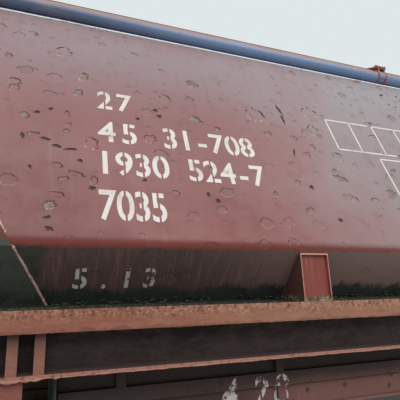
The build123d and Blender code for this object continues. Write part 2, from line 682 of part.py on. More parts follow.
def draw_gear():
    x0 = HEADSTOCK_X - 60
    face_x = HEADSTOCK_X + 12
    hook = along_y([(x0, BUFFER_Z - 30), (face_x + 150, BUFFER_Z - 36), (face_x + 215, BUFFER_Z - 20),
                    (face_x + 250, BUFFER_Z + 25), (face_x + 235, BUFFER_Z + 85), (face_x + 200, BUFFER_Z + 92),
                    (face_x + 195, BUFFER_Z + 50), (face_x + 170, BUFFER_Z + 28), (face_x + 130, BUFFER_Z + 30),
                    (x0, BUFFER_Z + 30)], -25, 25)
    guide = block(HEADSTOCK_X + SEAT, face_x, -95, 95, BUFFER_Z - 75, BUFFER_Z + 75)
    guide -= block(HEADSTOCK_X - 1, face_x + 1, -25 - SEAT, 25 + SEAT, BUFFER_Z - 40, BUFFER_Z + 35)
    pin_x = face_x + 90
    upper_z = BUFFER_Z - 4
    middle_z = upper_z - LINK_LENGTH
    lower_z = middle_z - SCREW_LENGTH
    bow_z = lower_z - BOW_LENGTH
    reach = LINK_HALF + LINK_PLATE
    links = bar((pin_x, -reach, upper_z), (pin_x, reach, upper_z), 16)
    for side in (-1, 1):
        inner, outer = sorted((side * LINK_HALF, side * (LINK_HALF - 2 * LINK_PLATE)))
        links += block(pin_x - 22, pin_x + 22, inner, outer, middle_z - 10, upper_z + 22)
        links += bar((pin_x, side * LINK_HALF, lower_z), (pin_x, side * LINK_HALF, bow_z), 15)
    for z in (middle_z, lower_z):
        links += bar((pin_x, -reach, z), (pin_x, reach, z), NUT_RADIUS)
    links += bar((pin_x, 0, middle_z), (pin_x, 0, lower_z), SCREW_RADIUS)
    links += bar((pin_x, -LINK_HALF - 10, bow_z), (pin_x, LINK_HALF + 10, bow_z), 17)
    return guide, hook + links


for name, end in ENDS:
    save(f"draw_gear_{name}", *[on_end(piece, end) for piece in draw_gear()])


# End platforms: deck plate and edge angle between the end slope and the headstock
DECK = 8


def platform():
    x0 = end_x(SOLE_TOP, WALL) + 25
    x1 = HEADSTOCK_X
    half = slope_y(SOLE_TOP)
    z0 = SOLE_TOP + SEAT
    deck = block(x0, x1, -half, half, z0, z0 + DECK)
    deck += block(x1 - DECK, x1, -half, half, z0, z0 + 70)
    return deck


for name, end in ENDS:
    save(f"end_platform_{name}", on_end(platform(), end))


# End posts under the slope's upper part, and struts from them back to the slope's foot
# columns: place across the wagon
POSTS_Y = (-560, 560)
POST_X = end_chord_x - 150
POST_SIZE = 90
END_RAIL_HEIGHTS = (1900, 2500)
END_RAIL = 70
GUSSET_PLATE = 8
GUSSET_STEP = 20            # outward from the side slope's plane
GUSSET_DROP = 30            # below the bend
GUSSET_TOP_REACH = 260
GUSSET_FOOT_REACH = 950
GUSSET_TOE = 60


def end_posts():
    z0 = SOLE_TOP + SEAT + DECK + SEAT
    pieces = []
    for y in POSTS_Y:
        post = block(POST_X - POST_SIZE / 2, POST_X + POST_SIZE / 2, y - POST_SIZE / 2, y + POST_SIZE / 2,
                     z0, CHORD_Z)
        post -= block(POST_X - POST_SIZE / 2 - 1, POST_X + POST_SIZE / 2 - 10, y - POST_SIZE / 2 + 8,
                      y + POST_SIZE / 2 - 8, z0 - 1, CHORD_Z + 1)
        pieces.append(post - outside_ends)
    for height in END_RAIL_HEIGHTS:
        z = RAIL + height
        x = end_x(z, WALL + SEAT)
        limit = wall_point((z - BEND_Z) / cos(lean))[0] - 40
        rail = along_y([(x, z), (x + END_RAIL, z), (x + END_RAIL, z + END_RAIL / end_run)], -limit, limit)
        pieces.append(rail)
    return pieces


def end_gusset():
    """Sloping side plate that carries the end slope on the sole bar, just outside the lower side slope."""
    low, high = SOLE_TOP + SEAT, BEND_Z - GUSSET_DROP
    outer = GUSSET_STEP
    inner = GUSSET_STEP - GUSSET_PLATE / sin(radians(LOWER_SLOPE))
    sheet = along_x([(slope_y(low) + inner, low), (slope_y(low) + outer, low),
                     (slope_y(high) + outer, high), (slope_y(high) + inner, high)], 0, HEADSTOCK_X)
    near = WALL + SEAT
    shape = [(end_x(low, near), low), (end_x(high, near), high), (end_x(high, near) + GUSSET_TOP_REACH, high)]
    shape += [(end_x(low, near) + GUSSET_FOOT_REACH, low + GUSSET_TOE), (end_x(low, near) + GUSSET_FOOT_REACH, low)]
    return sheet & along_y(shape, 0, 2 * BEND_Y)


for name, end in ENDS:
    gussets = [on_side(end_gusset(), side) for _, side in SIDES]
    save(f"end_posts_{name}", *[on_end(piece, end) for piece in end_posts() + gussets])


# Railing along the platform's outer edge, with a ladder up to the roof's end beam
RAILING_X = HEADSTOCK_X - 45
RAILING_Y = 1180
RAILING_HEIGHT = 1000
TUBE = 17
LADDER_Y = (60, 420)
RUNGS = 6


def railing():
    z0 = SOLE_TOP + SEAT + DECK + SEAT
    z1 = z0 + RAILING_HEIGHT
    reach = RAILING_Y + 30
    middle = (z0 + z1) / 2
    shape = bar((RAILING_X, -reach, z1), (RAILING_X, reach, z1), TUBE)
    shape += bar((RAILING_X, -reach, middle), (RAILING_X, reach, middle), TUBE * 0.6)
    for y in (-RAILING_Y, -RAILING_Y / 3, RAILING_Y / 3, RAILING_Y):
        shape += bar((RAILING_X, y, z0), (RAILING_X, y, z1), TUBE * 0.8)
    return shape


def ladder():
    z0 = SOLE_TOP + SEAT + DECK + SEAT
    foot_x = end_chord_x + CHORD_RADIUS + 70
    top_z = CHORD_Z + 40
    shape = None
    for y in LADDER_Y:
        rail = block(foot_x - 8, foot_x + 32, y - 6, y + 6, z0, top_z)
        rail += block(end_chord_x + CHORD_RADIUS + SEAT, foot_x, y - 6, y + 6, CHORD_Z - 20, CHORD_Z + 20)
        shape = rail if shape is None else shape + rail
    pitch = (top_z - z0) / (RUNGS + 0.5)
    for index in range(RUNGS):
        z = z0 + (index + 1) * pitch
        shape += bar((foot_x + 12, LADDER_Y[0], z), (foot_x + 12, LADDER_Y[1], z), 11, 6)
    return shape


for name, end in ENDS:
    save(f"railing_{name}", on_end(railing(), end))
    save(f"ladder_{name}", on_end(ladder(), end))


# Hand brake on the rear platform: column and wheel
BRAKE_Y = -700
BRAKE_HEIGHT = 700
BRAKE_WHEEL = 180


def hand_brake():
    z0 = SOLE_TOP + SEAT + DECK + SEAT
    x, y = RAILING_X - 150, BRAKE_Y
    z = z0 + BRAKE_HEIGHT
    shape = block(x - 45, x + 45, y - 45, y + 45, z0, z + 60)
    shape += bar((x - 80, y, z), (x, y, z), 16)
    wheel_x = x - 80
    rim = bar((wheel_x - 10, y, z), (wheel_x + 10, y, z), BRAKE_WHEEL, 20)
    rim -= bar((wheel_x - 20, y, z), (wheel_x + 20, y, z), BRAKE_WHEEL - 24, 20)
    shape += rim + bar((wheel_x - 14, y, z), (wheel_x + 14, y, z), 34)
    for turn in range(3):
        angle = radians(120 * turn + 90)
        reach = BRAKE_WHEEL - 14
        shape += bar((wheel_x, y, z), (wheel_x, y + reach * cos(angle), z + reach * sin(angle)), 9, 6)
    return shape


save("hand_brake", mirror(hand_brake(), about=Plane.YZ))


# Corner steps under the sole bars
def corner_step():
    x0, x1 = HEADSTOCK_X - 480, HEADSTOCK_X - 130
    y = SOLE_FLANGE_Y - 10
    low = RAIL + 420
    shape = None
    for x in (x0, x1):
        side = block(x - 6, x + 6, y - 30, y, low, SOLE_BOTTOM - SEAT)
        shape = side if shape is None else shape + side
    for z in (low, low + 260):
        shape += block(x0, x1, y - 190, y, z, z + 10)
        shape += block(x0, x1, y - 8, y, z, z + 40)
    return shape


steps = [on_end(on_side(corner_step(), side), end) for _, end in ENDS for _, side in SIDES]
save("corner_steps", *steps)


# Brake gear on the underframe: main pipe, cylinder and reservoir on hangers
# columns: place of a clip along the wagon
PIPE_CLIPS = (-2400, -1200, 0, 1200, 2400)


def brake_pipe():
    z = CENTRE_SILL_Z - 24
    y = sill_half - 40
    reach = PIVOT_X - PIVOT_RADIUS - 200
    shape = bar((-reach, y, z), (reach, y, z), 17)
    for x in PIPE_CLIPS:
        shape += block(x - 15, x + 15, y - 12, y + 12, z, CENTRE_SILL_Z - SEAT)
    return shape


def tank(x, y, length, radius, z):
    """Welded drum with dished ends on two straps."""
    # columns: place from an end and radius, as shares of the drum's radius
    dish = ((0, 0.5), (0.12, 0.8), (0.35, 1))
    near = [(share * radius - length / 2, part * radius) for share, part in dish]
    far = [(-along, part) for along, part in reversed(near)]
    body = turned(near + far, (x, y, z), (1, 0, 0), 20)
    for place in (-0.3, 0.3):
        middle = x + place * length
        strap = block(middle - 25, middle + 25, y - 14, y + 14, z, CENTRE_SILL_Z - SEAT)
        body += strap
    return body


save("brake_pipe", brake_pipe())
save("brake_cylinder", tank(-1500, -90, 620, 150, CENTRE_SILL_Z - 210))
save("air_reservoir", tank(1500, -90, 1150, 190, CENTRE_SILL_Z - 250))


# Wheelset: axle and two wheels in one turned piece
def wheelset(x):
    back, face = WHEEL_BACK_Y, WHEEL_BACK_Y + TREAD_WIDTH
    rim = WHEEL_RADIUS - RIM_DEPTH
    # columns: place across the wagon, radius
    half = [(back - 20, AXLE_RADIUS), (back - 20, HUB_RADIUS), (back + 40, HUB_RADIUS), (back + 56, rim)]
    half += [(back, rim), (back, WHEEL_RADIUS + RAIL), (back + 34, WHEEL_RADIUS)]
    half += [(face, WHEEL_RADIUS - 3), (face, rim), (back + 82, rim), (back + 66, HUB_RADIUS)]
    half += [(face + 20, HUB_RADIUS), (face + 20, JOURNAL_RADIUS), (JOURNAL_Y + JOURNAL_END, JOURNAL_RADIUS)]
    outline = [(-y, r) for y, r in reversed(half)] + half
    return turned(outline, (x, 0, AXLE_Z), (0, 1, 0), WHEEL_SIDES)


# Bogie frame: two box side beams with spring hoods and axle guides, joined by the transom
def side_beam():
    axle = WHEELBASE / 2
    belly = BEAM_TOP - BEAM_DEPTH
    guide_in = axle - BOX_HALF - BOX_CLEARANCE
    guide_out = axle + BOX_HALF + BOX_CLEARANCE
    spring_in = axle - SPRING_X - SPRING_RADIUS - HOOD_LIP
    low = GUIDE_BOTTOM
    half = [(spring_in - 100, belly), (spring_in, HOOD_Z), (guide_in - GUIDE, HOOD_Z), (guide_in - GUIDE, low)]
    half += [(guide_in, low), (guide_in, HOOD_Z - 15), (guide_out, HOOD_Z - 15), (guide_out, low)]
    half += [(guide_out + GUIDE, low), (guide_out + GUIDE, HOOD_Z), (BEAM_END, HOOD_Z), (BEAM_END, BEAM_TOP)]
    outline = [(-x, z) for x, z in reversed(half)] + half
    beam = along_y(outline, BEAM_INNER_Y, BEAM_OUTER_Y)
    middle = (BEAM_INNER_Y + BEAM_OUTER_Y) / 2
    beam += block(-BEAM_END, BEAM_END, middle - BEAM_FLANGE_WIDTH / 2, middle + BEAM_FLANGE_WIDTH / 2,
                  BEAM_TOP, BEAM_TOP + BEAM_FLANGE)
    for place in (-axle - SPRING_X, -axle + SPRING_X, axle - SPRING_X, axle + SPRING_X):
        collar = [(HOOD_Z - HOOD_LIP, SPRING_RADIUS + 8), (HOOD_Z + HOOD_LIP, SPRING_RADIUS + 8)]
        beam += turned(collar, (place, middle, 0), (0, 0, 1), 8)
    return beam


def bogie_frame(x):
    half = TRANSOM_HALF
    beam = side_beam()
    frame = beam + mirror(beam, about=Plane.XZ)
    frame += block(-half, half, -BEAM_INNER_Y, BEAM_INNER_Y, BEAM_TOP - 180, BEAM_TOP + 60)
    frame += turned([(BEAM_TOP, PIVOT_RADIUS + 15), (PIVOT_Z, PIVOT_RADIUS + 15)], (0, 0, 0), (0, 0, 1))
    for y in (-850, 850):
        frame += block(-130, 130, y - 60, y + 60, BEAM_TOP, RAIL + 955)
    return Pos(x, 0, 0) * frame


def axle_box(x, side):
    """Housing round a journal, with a wing on each side that carries a spring."""
    inner, outer = JOURNAL_Y - 72, JOURNAL_Y + 72
    reach = SPRING_X + SPRING_RADIUS
    box = block(x - BOX_HALF, x + BOX_HALF, inner, outer, AXLE_Z - 60, AXLE_Z + 95)
    box += turned([(inner, 125), (outer + 30, 125), (outer + 45, 105)], (x, 0, AXLE_Z), (0, 1, 0), 16)
    box += block(x - reach, x + reach, inner, outer, WING_Z - WING_DEPTH, WING_Z)
    box += block(x - BOX_HALF + 20, x + BOX_HALF - 20, inner, outer, WING_Z - WING_DEPTH, AXLE_Z)
    inside = JOURNAL_RADIUS / cos(pi / WHEEL_SIDES) + JOURNAL_CLEARANCE
    box -= bore((x, inner - 1, AXLE_Z), (x, JOURNAL_Y + JOURNAL_END + 10, AXLE_Z), inside, 12, 180 / WHEEL_SIDES)
    return on_side(box, side)


def springs(x, side):
    """The two coil springs beside an axle box, each turned as a stack of coils."""
    middle = (BEAM_INNER_Y + BEAM_OUTER_Y) / 2
    low, high = WING_Z + SEAT, HOOD_Z - HOOD_LIP - SEAT
    pitch = (high - low) / COILS
    outline = [(low, SPRING_RADIUS - COIL_DEPTH)]
    for index in range(COILS):
        outline.append((low + (index + 0.5) * pitch, SPRING_RADIUS))
        outline.append((low + (index + 1) * pitch, SPRING_RADIUS - COIL_DEPTH))
    return [on_side(turned(outline, (x + place, middle, 0), (0, 0, 1), 8), side)
            for place in (-SPRING_X, SPRING_X)]


BRAKE_GAP = 6
BRAKE_SHOE = 52
SHOE_SIDES = 40


def brake_gear(x):
    """Blocks on the inner side of each wheel, on a beam that hangs from the transom."""
    pieces = []
    for axle_side in (-1, 1):
        axle_x = axle_side * WHEELBASE / 2
        shoe = WHEEL_RADIUS / cos(pi / WHEEL_SIDES) + BRAKE_GAP
        beam_x = axle_x - axle_side * (WHEEL_RADIUS + 85)
        gear = bar((beam_x, -800, AXLE_Z), (beam_x, 800, AXLE_Z), 32)
        for y in (-755, 755):
            ring = bar((axle_x, y - 40, AXLE_Z), (axle_x, y + 40, AXLE_Z), shoe + BRAKE_SHOE, SHOE_SIDES)
            ring -= bore((axle_x, y - 41, AXLE_Z), (axle_x, y + 41, AXLE_Z), shoe, SHOE_SIDES)
            far = axle_x - axle_side * (WHEEL_RADIUS + 70)
            near = axle_x - axle_side * (WHEEL_RADIUS * cos(radians(22)))
            x0, x1 = sorted((far, near))
            ring &= block(x0, x1, y - 40, y + 40, AXLE_Z - 175, AXLE_Z + 175)
            gear += ring
            gear += block(min(beam_x, far) - 10, max(beam_x, far) + 10, y - 30, y + 30, AXLE_Z - 40, AXLE_Z + 40)
        for y in (-500, 500):
            hanger_x = axle_side * 160 + axle_side * SEAT
            x0, x1 = sorted((hanger_x, beam_x))
            gear += block(x0, x1, y - 15, y + 15, AXLE_Z + 60, AXLE_Z + 110)
            gear += block(beam_x - 20, beam_x + 20, y - 15, y + 15, AXLE_Z, AXLE_Z + 110)
        pieces.append(Pos(x, 0, 0) * gear)
    return pieces


# columns: bogie, its pivot, first wheelset, second wheelset
BOGIES = (("front", PIVOT_X, "wheelset_1", "wheelset_2"), ("rear", -PIVOT_X, "wheelset_3", "wheelset_4"))
for name, pivot, first, second in BOGIES:
    front_axle, rear_axle = pivot + WHEELBASE / 2, pivot - WHEELBASE / 2
    save(first, wheelset(front_axle))
    save(second, wheelset(rear_axle))
    save(f"bogie_frame_{name}", bogie_frame(pivot))
    boxes = [axle_box(x, side) for x in (front_axle, rear_axle) for _, side in SIDES]
    save(f"axle_boxes_{name}", *boxes)
    coils = [coil for x in (front_axle, rear_axle) for _, side in SIDES for coil in springs(x, side)]
    save(f"springs_{name}", *coils)
    save(f"brake_gear_{name}", *brake_gear(pivot))
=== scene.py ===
import math
import random
import bpy
from mathutils import Matrix, Vector


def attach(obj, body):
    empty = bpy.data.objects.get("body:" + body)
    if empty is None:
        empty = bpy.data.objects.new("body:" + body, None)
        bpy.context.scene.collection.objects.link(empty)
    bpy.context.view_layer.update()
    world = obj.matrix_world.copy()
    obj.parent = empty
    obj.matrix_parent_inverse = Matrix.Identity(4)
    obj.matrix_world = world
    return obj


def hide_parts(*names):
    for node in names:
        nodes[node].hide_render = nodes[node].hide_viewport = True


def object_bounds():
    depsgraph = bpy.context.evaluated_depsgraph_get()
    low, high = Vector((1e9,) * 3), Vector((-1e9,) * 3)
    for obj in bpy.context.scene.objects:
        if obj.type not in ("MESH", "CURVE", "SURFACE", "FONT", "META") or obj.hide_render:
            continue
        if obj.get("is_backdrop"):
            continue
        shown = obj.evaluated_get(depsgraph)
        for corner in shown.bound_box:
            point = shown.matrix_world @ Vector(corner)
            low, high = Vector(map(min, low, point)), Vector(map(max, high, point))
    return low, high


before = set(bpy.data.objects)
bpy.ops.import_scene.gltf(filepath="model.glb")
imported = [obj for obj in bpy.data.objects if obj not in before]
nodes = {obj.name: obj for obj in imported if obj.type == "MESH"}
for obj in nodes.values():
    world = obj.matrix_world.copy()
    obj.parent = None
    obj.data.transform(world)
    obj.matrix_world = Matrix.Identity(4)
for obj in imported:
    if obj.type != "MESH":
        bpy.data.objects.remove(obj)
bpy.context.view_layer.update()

scene = bpy.context.scene
# columns: sign across or along the wagon, name
SIDES = ((-1, "right"), (1, "left"))
ENDS = ((1, "front"), (-1, "rear"))
SIGNS = (-1, 1)
ALONG, ACROSS, UP = (1, 0, 0), (0, 1, 0), (0, 0, 1)

# Camera: a close view of one long side, left of the wagon's middle, from eye height.
# It stands two metres out from the bend of the side wall and looks a little up and to the right.
CAMERA_PLACE = (-3.73, -3.45, 1.47)
CAMERA_YAW, CAMERA_PITCH, CAMERA_ROLL = 21.1, 9.0, 0.2
CAMERA_LENS, CAMERA_SENSOR, CAMERA_NEAR = 37.6, 36.0, 0.05


def turn(degrees, axis):
    return Matrix.Rotation(math.radians(degrees), 4, axis)


def shown(name, data):
    """A new object with this data, in the scene."""
    thing = bpy.data.objects.new(name, data)
    scene.collection.objects.link(thing)
    return thing


camera_data = bpy.data.cameras.new("camera")
camera_data.lens = CAMERA_LENS
camera_data.sensor_width = CAMERA_SENSOR
camera_data.clip_start = CAMERA_NEAR
camera = shown("camera", camera_data)
aimed = turn(-CAMERA_YAW, "Z") @ turn(90 + CAMERA_PITCH, "X")
camera.matrix_world = Matrix.Translation(CAMERA_PLACE) @ aimed @ turn(CAMERA_ROLL, "Z")
scene.camera = camera
scene.view_settings.view_transform = "Standard"

# Light: an even pale sky that is brighter overhead, and one broad soft lamp over the near side.
# The camera sees the sky nearly white.
SKY_LOW, SKY_HIGH = 0.42, 0.95
SKY_SEEN = 0.74
SKY_TINT = (1, 1.08, 1.10)
LAMP_PLACE, LAMP_AIM = (-1.0, -7.0, 8.5), (0, 0, 1.6)
LAMP_SIZE, LAMP_POWER = (14.0, 8.0), 900


def feed(tree, socket, value):
    """Gives a shader's socket its number or colour, or links it to where that comes from."""
    value = getattr(value, "socket", value)
    if isinstance(value, bpy.types.NodeSocket):
        tree.links.new(value, socket)
    else:
        socket.default_value = value


def shader(tree, kind, inputs, **settings):
    """A shader node with its settings made and its inputs fed, by name or number."""
    node = tree.nodes.new("ShaderNode" + kind)
    for name, value in settings.items():
        setattr(node, name, value)
    for socket, value in inputs.items():
        feed(tree, node.inputs[socket], value)
    return node


scene.world = bpy.data.worlds.new("sky")
scene.world.use_nodes = True
sky = scene.world.node_tree
sky.nodes.clear()
sky_axes = shader(sky, "SeparateXYZ", {0: shader(sky, "TexCoord", {}).outputs["Generated"]})
sky_rise = shader(sky, "MapRange", {0: sky_axes.outputs["Z"], 1: -0.1, 2: 0.9, 3: SKY_LOW, 4: SKY_HIGH})
sky_light = shader(sky, "Background", {"Strength": sky_rise.outputs[0]})
sky_seen = shader(sky, "Background", {"Color": (*(SKY_SEEN * share for share in SKY_TINT), 1)})
sky_path = shader(sky, "LightPath", {})
sky_inputs = {0: sky_path.outputs["Is Camera Ray"], 1: sky_light.outputs[0], 2: sky_seen.outputs[0]}
shader(sky, "OutputWorld", {0: shader(sky, "MixShader", sky_inputs).outputs[0]})

lamp_data = bpy.data.lights.new("soft_lamp", "AREA")
lamp_data.shape = "RECTANGLE"
lamp_data.size, lamp_data.size_y = LAMP_SIZE
lamp_data.energy = LAMP_POWER
lamp = shown("soft_lamp", lamp_data)
lamp.location = LAMP_PLACE
lamp.rotation_euler = (Vector(LAMP_AIM) - lamp.location).to_track_quat("-Z", "Y").to_euler()

# Floor: one plain pale plane under the wheels, darker for the light that it throws back up.
FLOOR_REACH = 60
FLOOR_TONE, FLOOR_BOUNCE = (0.72, 0.72, 0.70, 1), (0.22, 0.21, 0.20, 1)
bpy.ops.object.select_all(action="DESELECT")
bpy.ops.mesh.primitive_plane_add(size=FLOOR_REACH)
floor = bpy.context.object
floor.name = "floor"
floor_material = bpy.data.materials.new("floor")
floor_material.use_nodes = True
floor_tree = floor_material.node_tree
floor_path = shader(floor_tree, "LightPath", {})
floor_inputs = {"Factor": floor_path.outputs["Is Diffuse Ray"], "A": FLOOR_TONE, "B": FLOOR_BOUNCE}
floor_bounce = shader(floor_tree, "Mix", floor_inputs, data_type="RGBA")
floor_shader = floor_tree.nodes["Principled BSDF"]
floor_shader.inputs["Roughness"].default_value = 0.9
floor_tree.links.new(floor_bounce.outputs["Result"], floor_shader.inputs["Base Color"])
floor.data.materials.append(floor_material)
floor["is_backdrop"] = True


# Wheelsets: forged axles with two rolled wheels each, pressed on, turning freely in the axle boxes.
# Each is one turned piece, brown with brake dust, with the tread and the flange's root worn bright.
# columns: place along the wagon, end, number
AXLES = ((4.65, "front", 1), (2.85, "front", 2), (-2.85, "rear", 3), (-4.65, "rear", 4))
AXLE_HEIGHT = 0.490
# columns: place across the wagon, radius
HALF_WHEELSET = ((0.600, 0.080), (0.655, 0.088), (0.660, 0.118), (0.668, 0.122), (0.718, 0.122),
                 (0.726, 0.150), (0.733, 0.340), (0.728, 0.384), (0.716, 0.395), (0.684, 0.396),
                 (0.680, 0.402), (0.680, 0.478), (0.686, 0.487), (0.696, 0.490), (0.706, 0.484),
                 (0.713, 0.466), (0.722, 0.461), (0.803, 0.457), (0.812, 0.454), (0.815, 0.448),
                 (0.815, 0.402), (0.811, 0.396), (0.772, 0.395), (0.762, 0.384), (0.760, 0.340),
                 (0.748, 0.150), (0.752, 0.126), (0.762, 0.122), (0.828, 0.122), (0.834, 0.118),
                 (0.835, 0.070), (0.852, 0.065), (1.082, 0.065), (1.088, 0.060))
TREAD_FROM, TREAD_TO, TREAD_RADIUS = 0.700, 0.806, 0.45


class Value:
    """A number that a shader works out at each point; it adds and multiplies as plain numbers do."""

    def __init__(self, tree, socket):
        self.tree, self.socket = tree, socket

    def work(self, kind, first, second=0.0):
        return Value(self.tree, shader(self.tree, "Math", {0: first, 1: second}, operation=kind).outputs[0])

    def __add__(self, other):
        return self.work("ADD", self, other)

    def __sub__(self, other):
        return self.work("SUBTRACT", self, other)

    def __rsub__(self, other):
        return self.work("SUBTRACT", other, self)

    def __mul__(self, other):
        return self.work("MULTIPLY", self, other)

    def __truediv__(self, other):
        return self.work("DIVIDE", self, other)

    def __abs__(self):
        return self.work("ABSOLUTE", self)

    def root(self):
        return self.work("SQRT", self)

    def larger(self, other):
        return self.work("MAXIMUM", self, other)

    def rise(self, low, high, most=1.0, least=0.0):
        """From the least to the most, smoothly, while this value goes from low to high."""
        inputs = {0: self, 1: low, 2: high, 3: least, 4: most}
        node = shader(self.tree, "MapRange", inputs, interpolation_type="SMOOTHSTEP")
        return Value(self.tree, node.outputs[0])


def linear(tone):
    """A colour written as it looks, 0 to 255, as a shader takes it; a mixed one stays as it is."""
    if not isinstance(tone, tuple):
        return tone
    shares = [part / 255 for part in tone]
    return (*(part / 12.92 if part <= 0.04045 else ((part + 0.055) / 1.055) ** 2.4 for part in shares), 1)


class Finish:
    """A material on Object coordinates: a first tone, and layers of colour laid over it by masks."""

    def __init__(self, name, tone, roughness=0.5, metallic=0.0, coat=0.0):
        self.material = bpy.data.materials.new(name)
        self.material.use_nodes = True
        self.tree = self.material.node_tree
        self.shader = self.tree.nodes["Principled BSDF"]
        for socket, value in (("Roughness", roughness), ("Metallic", metallic), ("Coat Weight", coat)):
            self.shader.inputs[socket].default_value = value
        self.place = shader(self.tree, "TexCoord", {}).outputs["Object"]
        self.x, self.y, self.z = self.parts(self.place)
        self.colour = tone

    def parts(self, whole, kind="SeparateXYZ"):
        """The three numbers of a vector or a colour."""
        return [Value(self.tree, part) for part in shader(self.tree, kind, {0: whole}).outputs]

    def spot(self, stretch, shift):
        return shader(self.tree, "Mapping",
                      {"Scale": stretch, "Location": shift, "Vector": self.place}).outputs[0]

    def noise(self, scale, detail=4.0, rough=0.55, stretch=(1, 1, 1), shift=(0, 0, 0), warp=0.0):
        inputs = {"Scale": scale, "Detail": detail, "Roughness": rough, "Distortion": warp,
                  "Vector": self.spot(stretch, shift)}
        return Value(self.tree, shader(self.tree, "TexNoise", inputs).outputs["Fac"])

    def cells(self, scale, stretch, shift):
        inputs = {"Scale": scale, "Vector": self.spot(stretch, shift)}
        return Value(self.tree, shader(self.tree, "TexVoronoi", inputs).outputs["Distance"])

    def mix(self, under, mask, tone):
        """One colour over another, where the mask is 1."""
        inputs = {"Factor": mask, "A": linear(under), "B": linear(tone)}
        return shader(self.tree, "Mix", inputs, data_type="RGBA").outputs["Result"]

    def lay(self, mask, tone):
        """A layer of colour over what is there, where the mask is 1."""
        self.colour = self.mix(self.colour, mask, tone)

    def bump(self, height, depth, strength=0.8):
        node = shader(self.tree, "Bump", {"Strength": strength, "Distance": depth, "Height": height})
        below = self.shader.inputs["Normal"]
        if below.links:
            self.tree.links.new(below.links[0].from_socket, node.inputs["Normal"])
        self.tree.links.new(node.outputs[0], below)

    def done(self, roughness=None):
        feed(self.tree, self.shader.inputs["Base Color"], linear(self.colour))
        if roughness is not None:
            feed(self.tree, self.shader.inputs["Roughness"], roughness)
        return self.material


def rust_finish(name, tone, rusty=0.5, grime=0.4, dust=0.0):
    """Matt frame paint: one tone, rusted, grimed and dusted by the amounts given."""
    paint = Finish(name, tone, 0.75)
    broad = paint.noise(1.4, 4, 0.6)
    middle = paint.noise(11, 6, 0.65)
    fine = paint.noise(60, 5, 0.7)
    paint.lay(broad.rise(0.35, 0.70, 0.5), tuple(part * 0.78 for part in tone))
    paint.lay(middle.rise(0.66 - 0.24 * rusty, 0.84 - 0.24 * rusty, 0.85), (134, 82, 60))
    paint.lay(fine.rise(0.66 - 0.16 * rusty, 0.80 - 0.16 * rusty, 0.7), (88, 56, 44))
    paint.lay(paint.noise(2.3, 5, 0.6, shift=(5, 2, 1)).rise(0.5, 0.8, grime), (56, 49, 45))
    runs = paint.noise(4.5, 4, 0.6, stretch=(5, 5, 0.4), shift=(3, 1, 7))
    paint.lay(runs.rise(0.56, 0.76, 0.35), tuple(min(255, part * 1.25 + 12) for part in tone))
    if dust:
        paint.lay(paint.noise(3.1, 4, 0.6, shift=(1, 9, 2)).rise(0.4, 0.7, dust), (128, 108, 90))
    paint.bump(middle, 0.006 * rusty)
    paint.bump(fine, 0.0016)
    return paint.done(middle.rise(0.3, 0.7, 0.9, 0.62))


def dress(paint, *names):
    """Gives CAD nodes their finish."""
    for name in names:
        slots = nodes[name].data.materials
        if not slots:
            slots.append(paint)
        for index in range(len(slots)):
            slots[index] = paint


def start():
    """Object mode, with nothing selected, before a new piece is begun."""
    if bpy.context.object and bpy.context.object.mode != "OBJECT":
        bpy.ops.object.mode_set(mode="OBJECT")
    bpy.ops.object.select_all(action="DESELECT")


def pick(piece, editing=False):
    start()
    piece.select_set(True)
    bpy.context.view_layer.objects.active = piece
    if editing:
        bpy.ops.object.mode_set(mode="EDIT")
        bpy.ops.mesh.select_all(action="SELECT")
    return piece


def fix(piece):
    """Puts a piece's place, turn and size into its mesh."""
    pick(piece)
    bpy.ops.object.transform_apply(location=True, rotation=True, scale=True)
    return piece


def made(add, **settings):
    """A new piece, added by an operator with these settings."""
    start()
    add(**settings)
    return fix(bpy.context.object)


def outward(piece):
    """Turns a piece's faces outward."""
    pick(piece, editing=True)
    bpy.ops.mesh.normals_make_consistent(inside=False)
    bpy.ops.object.mode_set(mode="OBJECT")
    return piece


def modify(piece, kind, **settings):
    """Gives a piece one modifier with these settings and applies it."""
    pick(piece)
    change = piece.modifiers.new(kind, kind)
    for name, value in settings.items():
        setattr(change, name, value)
    bpy.ops.object.modifier_apply(modifier=change.name)
    return piece


def placed(place, aim=UP, turned_by=0.0):
    swing = Vector(aim).to_track_quat("Z", "Y").to_matrix().to_4x4()
    return Matrix.Translation(place) @ swing @ Matrix.Rotation(turned_by, 4, "Z")


def lathe(stations, place=(0, 0, 0), aim=UP, sides=64):
    """Turned piece: a disc drawn out along its axis and widened or narrowed, station by station."""
    along, radius = stations[0]
    piece = made(bpy.ops.mesh.primitive_circle_add, vertices=sides, radius=radius, fill_type="NGON",
                 location=(0, 0, along))
    pick(piece, editing=True)
    for before, after in zip(stations, stations[1:]):
        bpy.ops.mesh.extrude_region_move(TRANSFORM_OT_translate={"value": (0, 0, after[0] - before[0])})
        share = after[1] / before[1]
        bpy.ops.transform.resize(value=(share, share, 1), center_override=(0, 0, after[0]))
    outward(piece).matrix_world = placed(place, aim)
    return fix(piece)


def join(pieces):
    start()
    for piece in pieces:
        piece.select_set(True)
    bpy.context.view_layer.objects.active = pieces[0]
    if len(pieces) > 1:
        bpy.ops.object.join()
    return bpy.context.object


def settle(piece, name, paint=None, round_under=None, body="wagon_body", instead_of=None):
    """Joins a finished piece, names it, gives it its finish and fixes it to the body it moves with."""
    piece = fix(join(piece) if isinstance(piece, list) else piece)
    if round_under:
        bpy.ops.object.shade_smooth_by_angle(angle=math.radians(round_under))
    piece.name = name
    if paint:
        piece.data.materials.clear()
        piece.data.materials.append(paint)
    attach(piece, body)
    if instead_of:
        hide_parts(instead_of)
    return piece


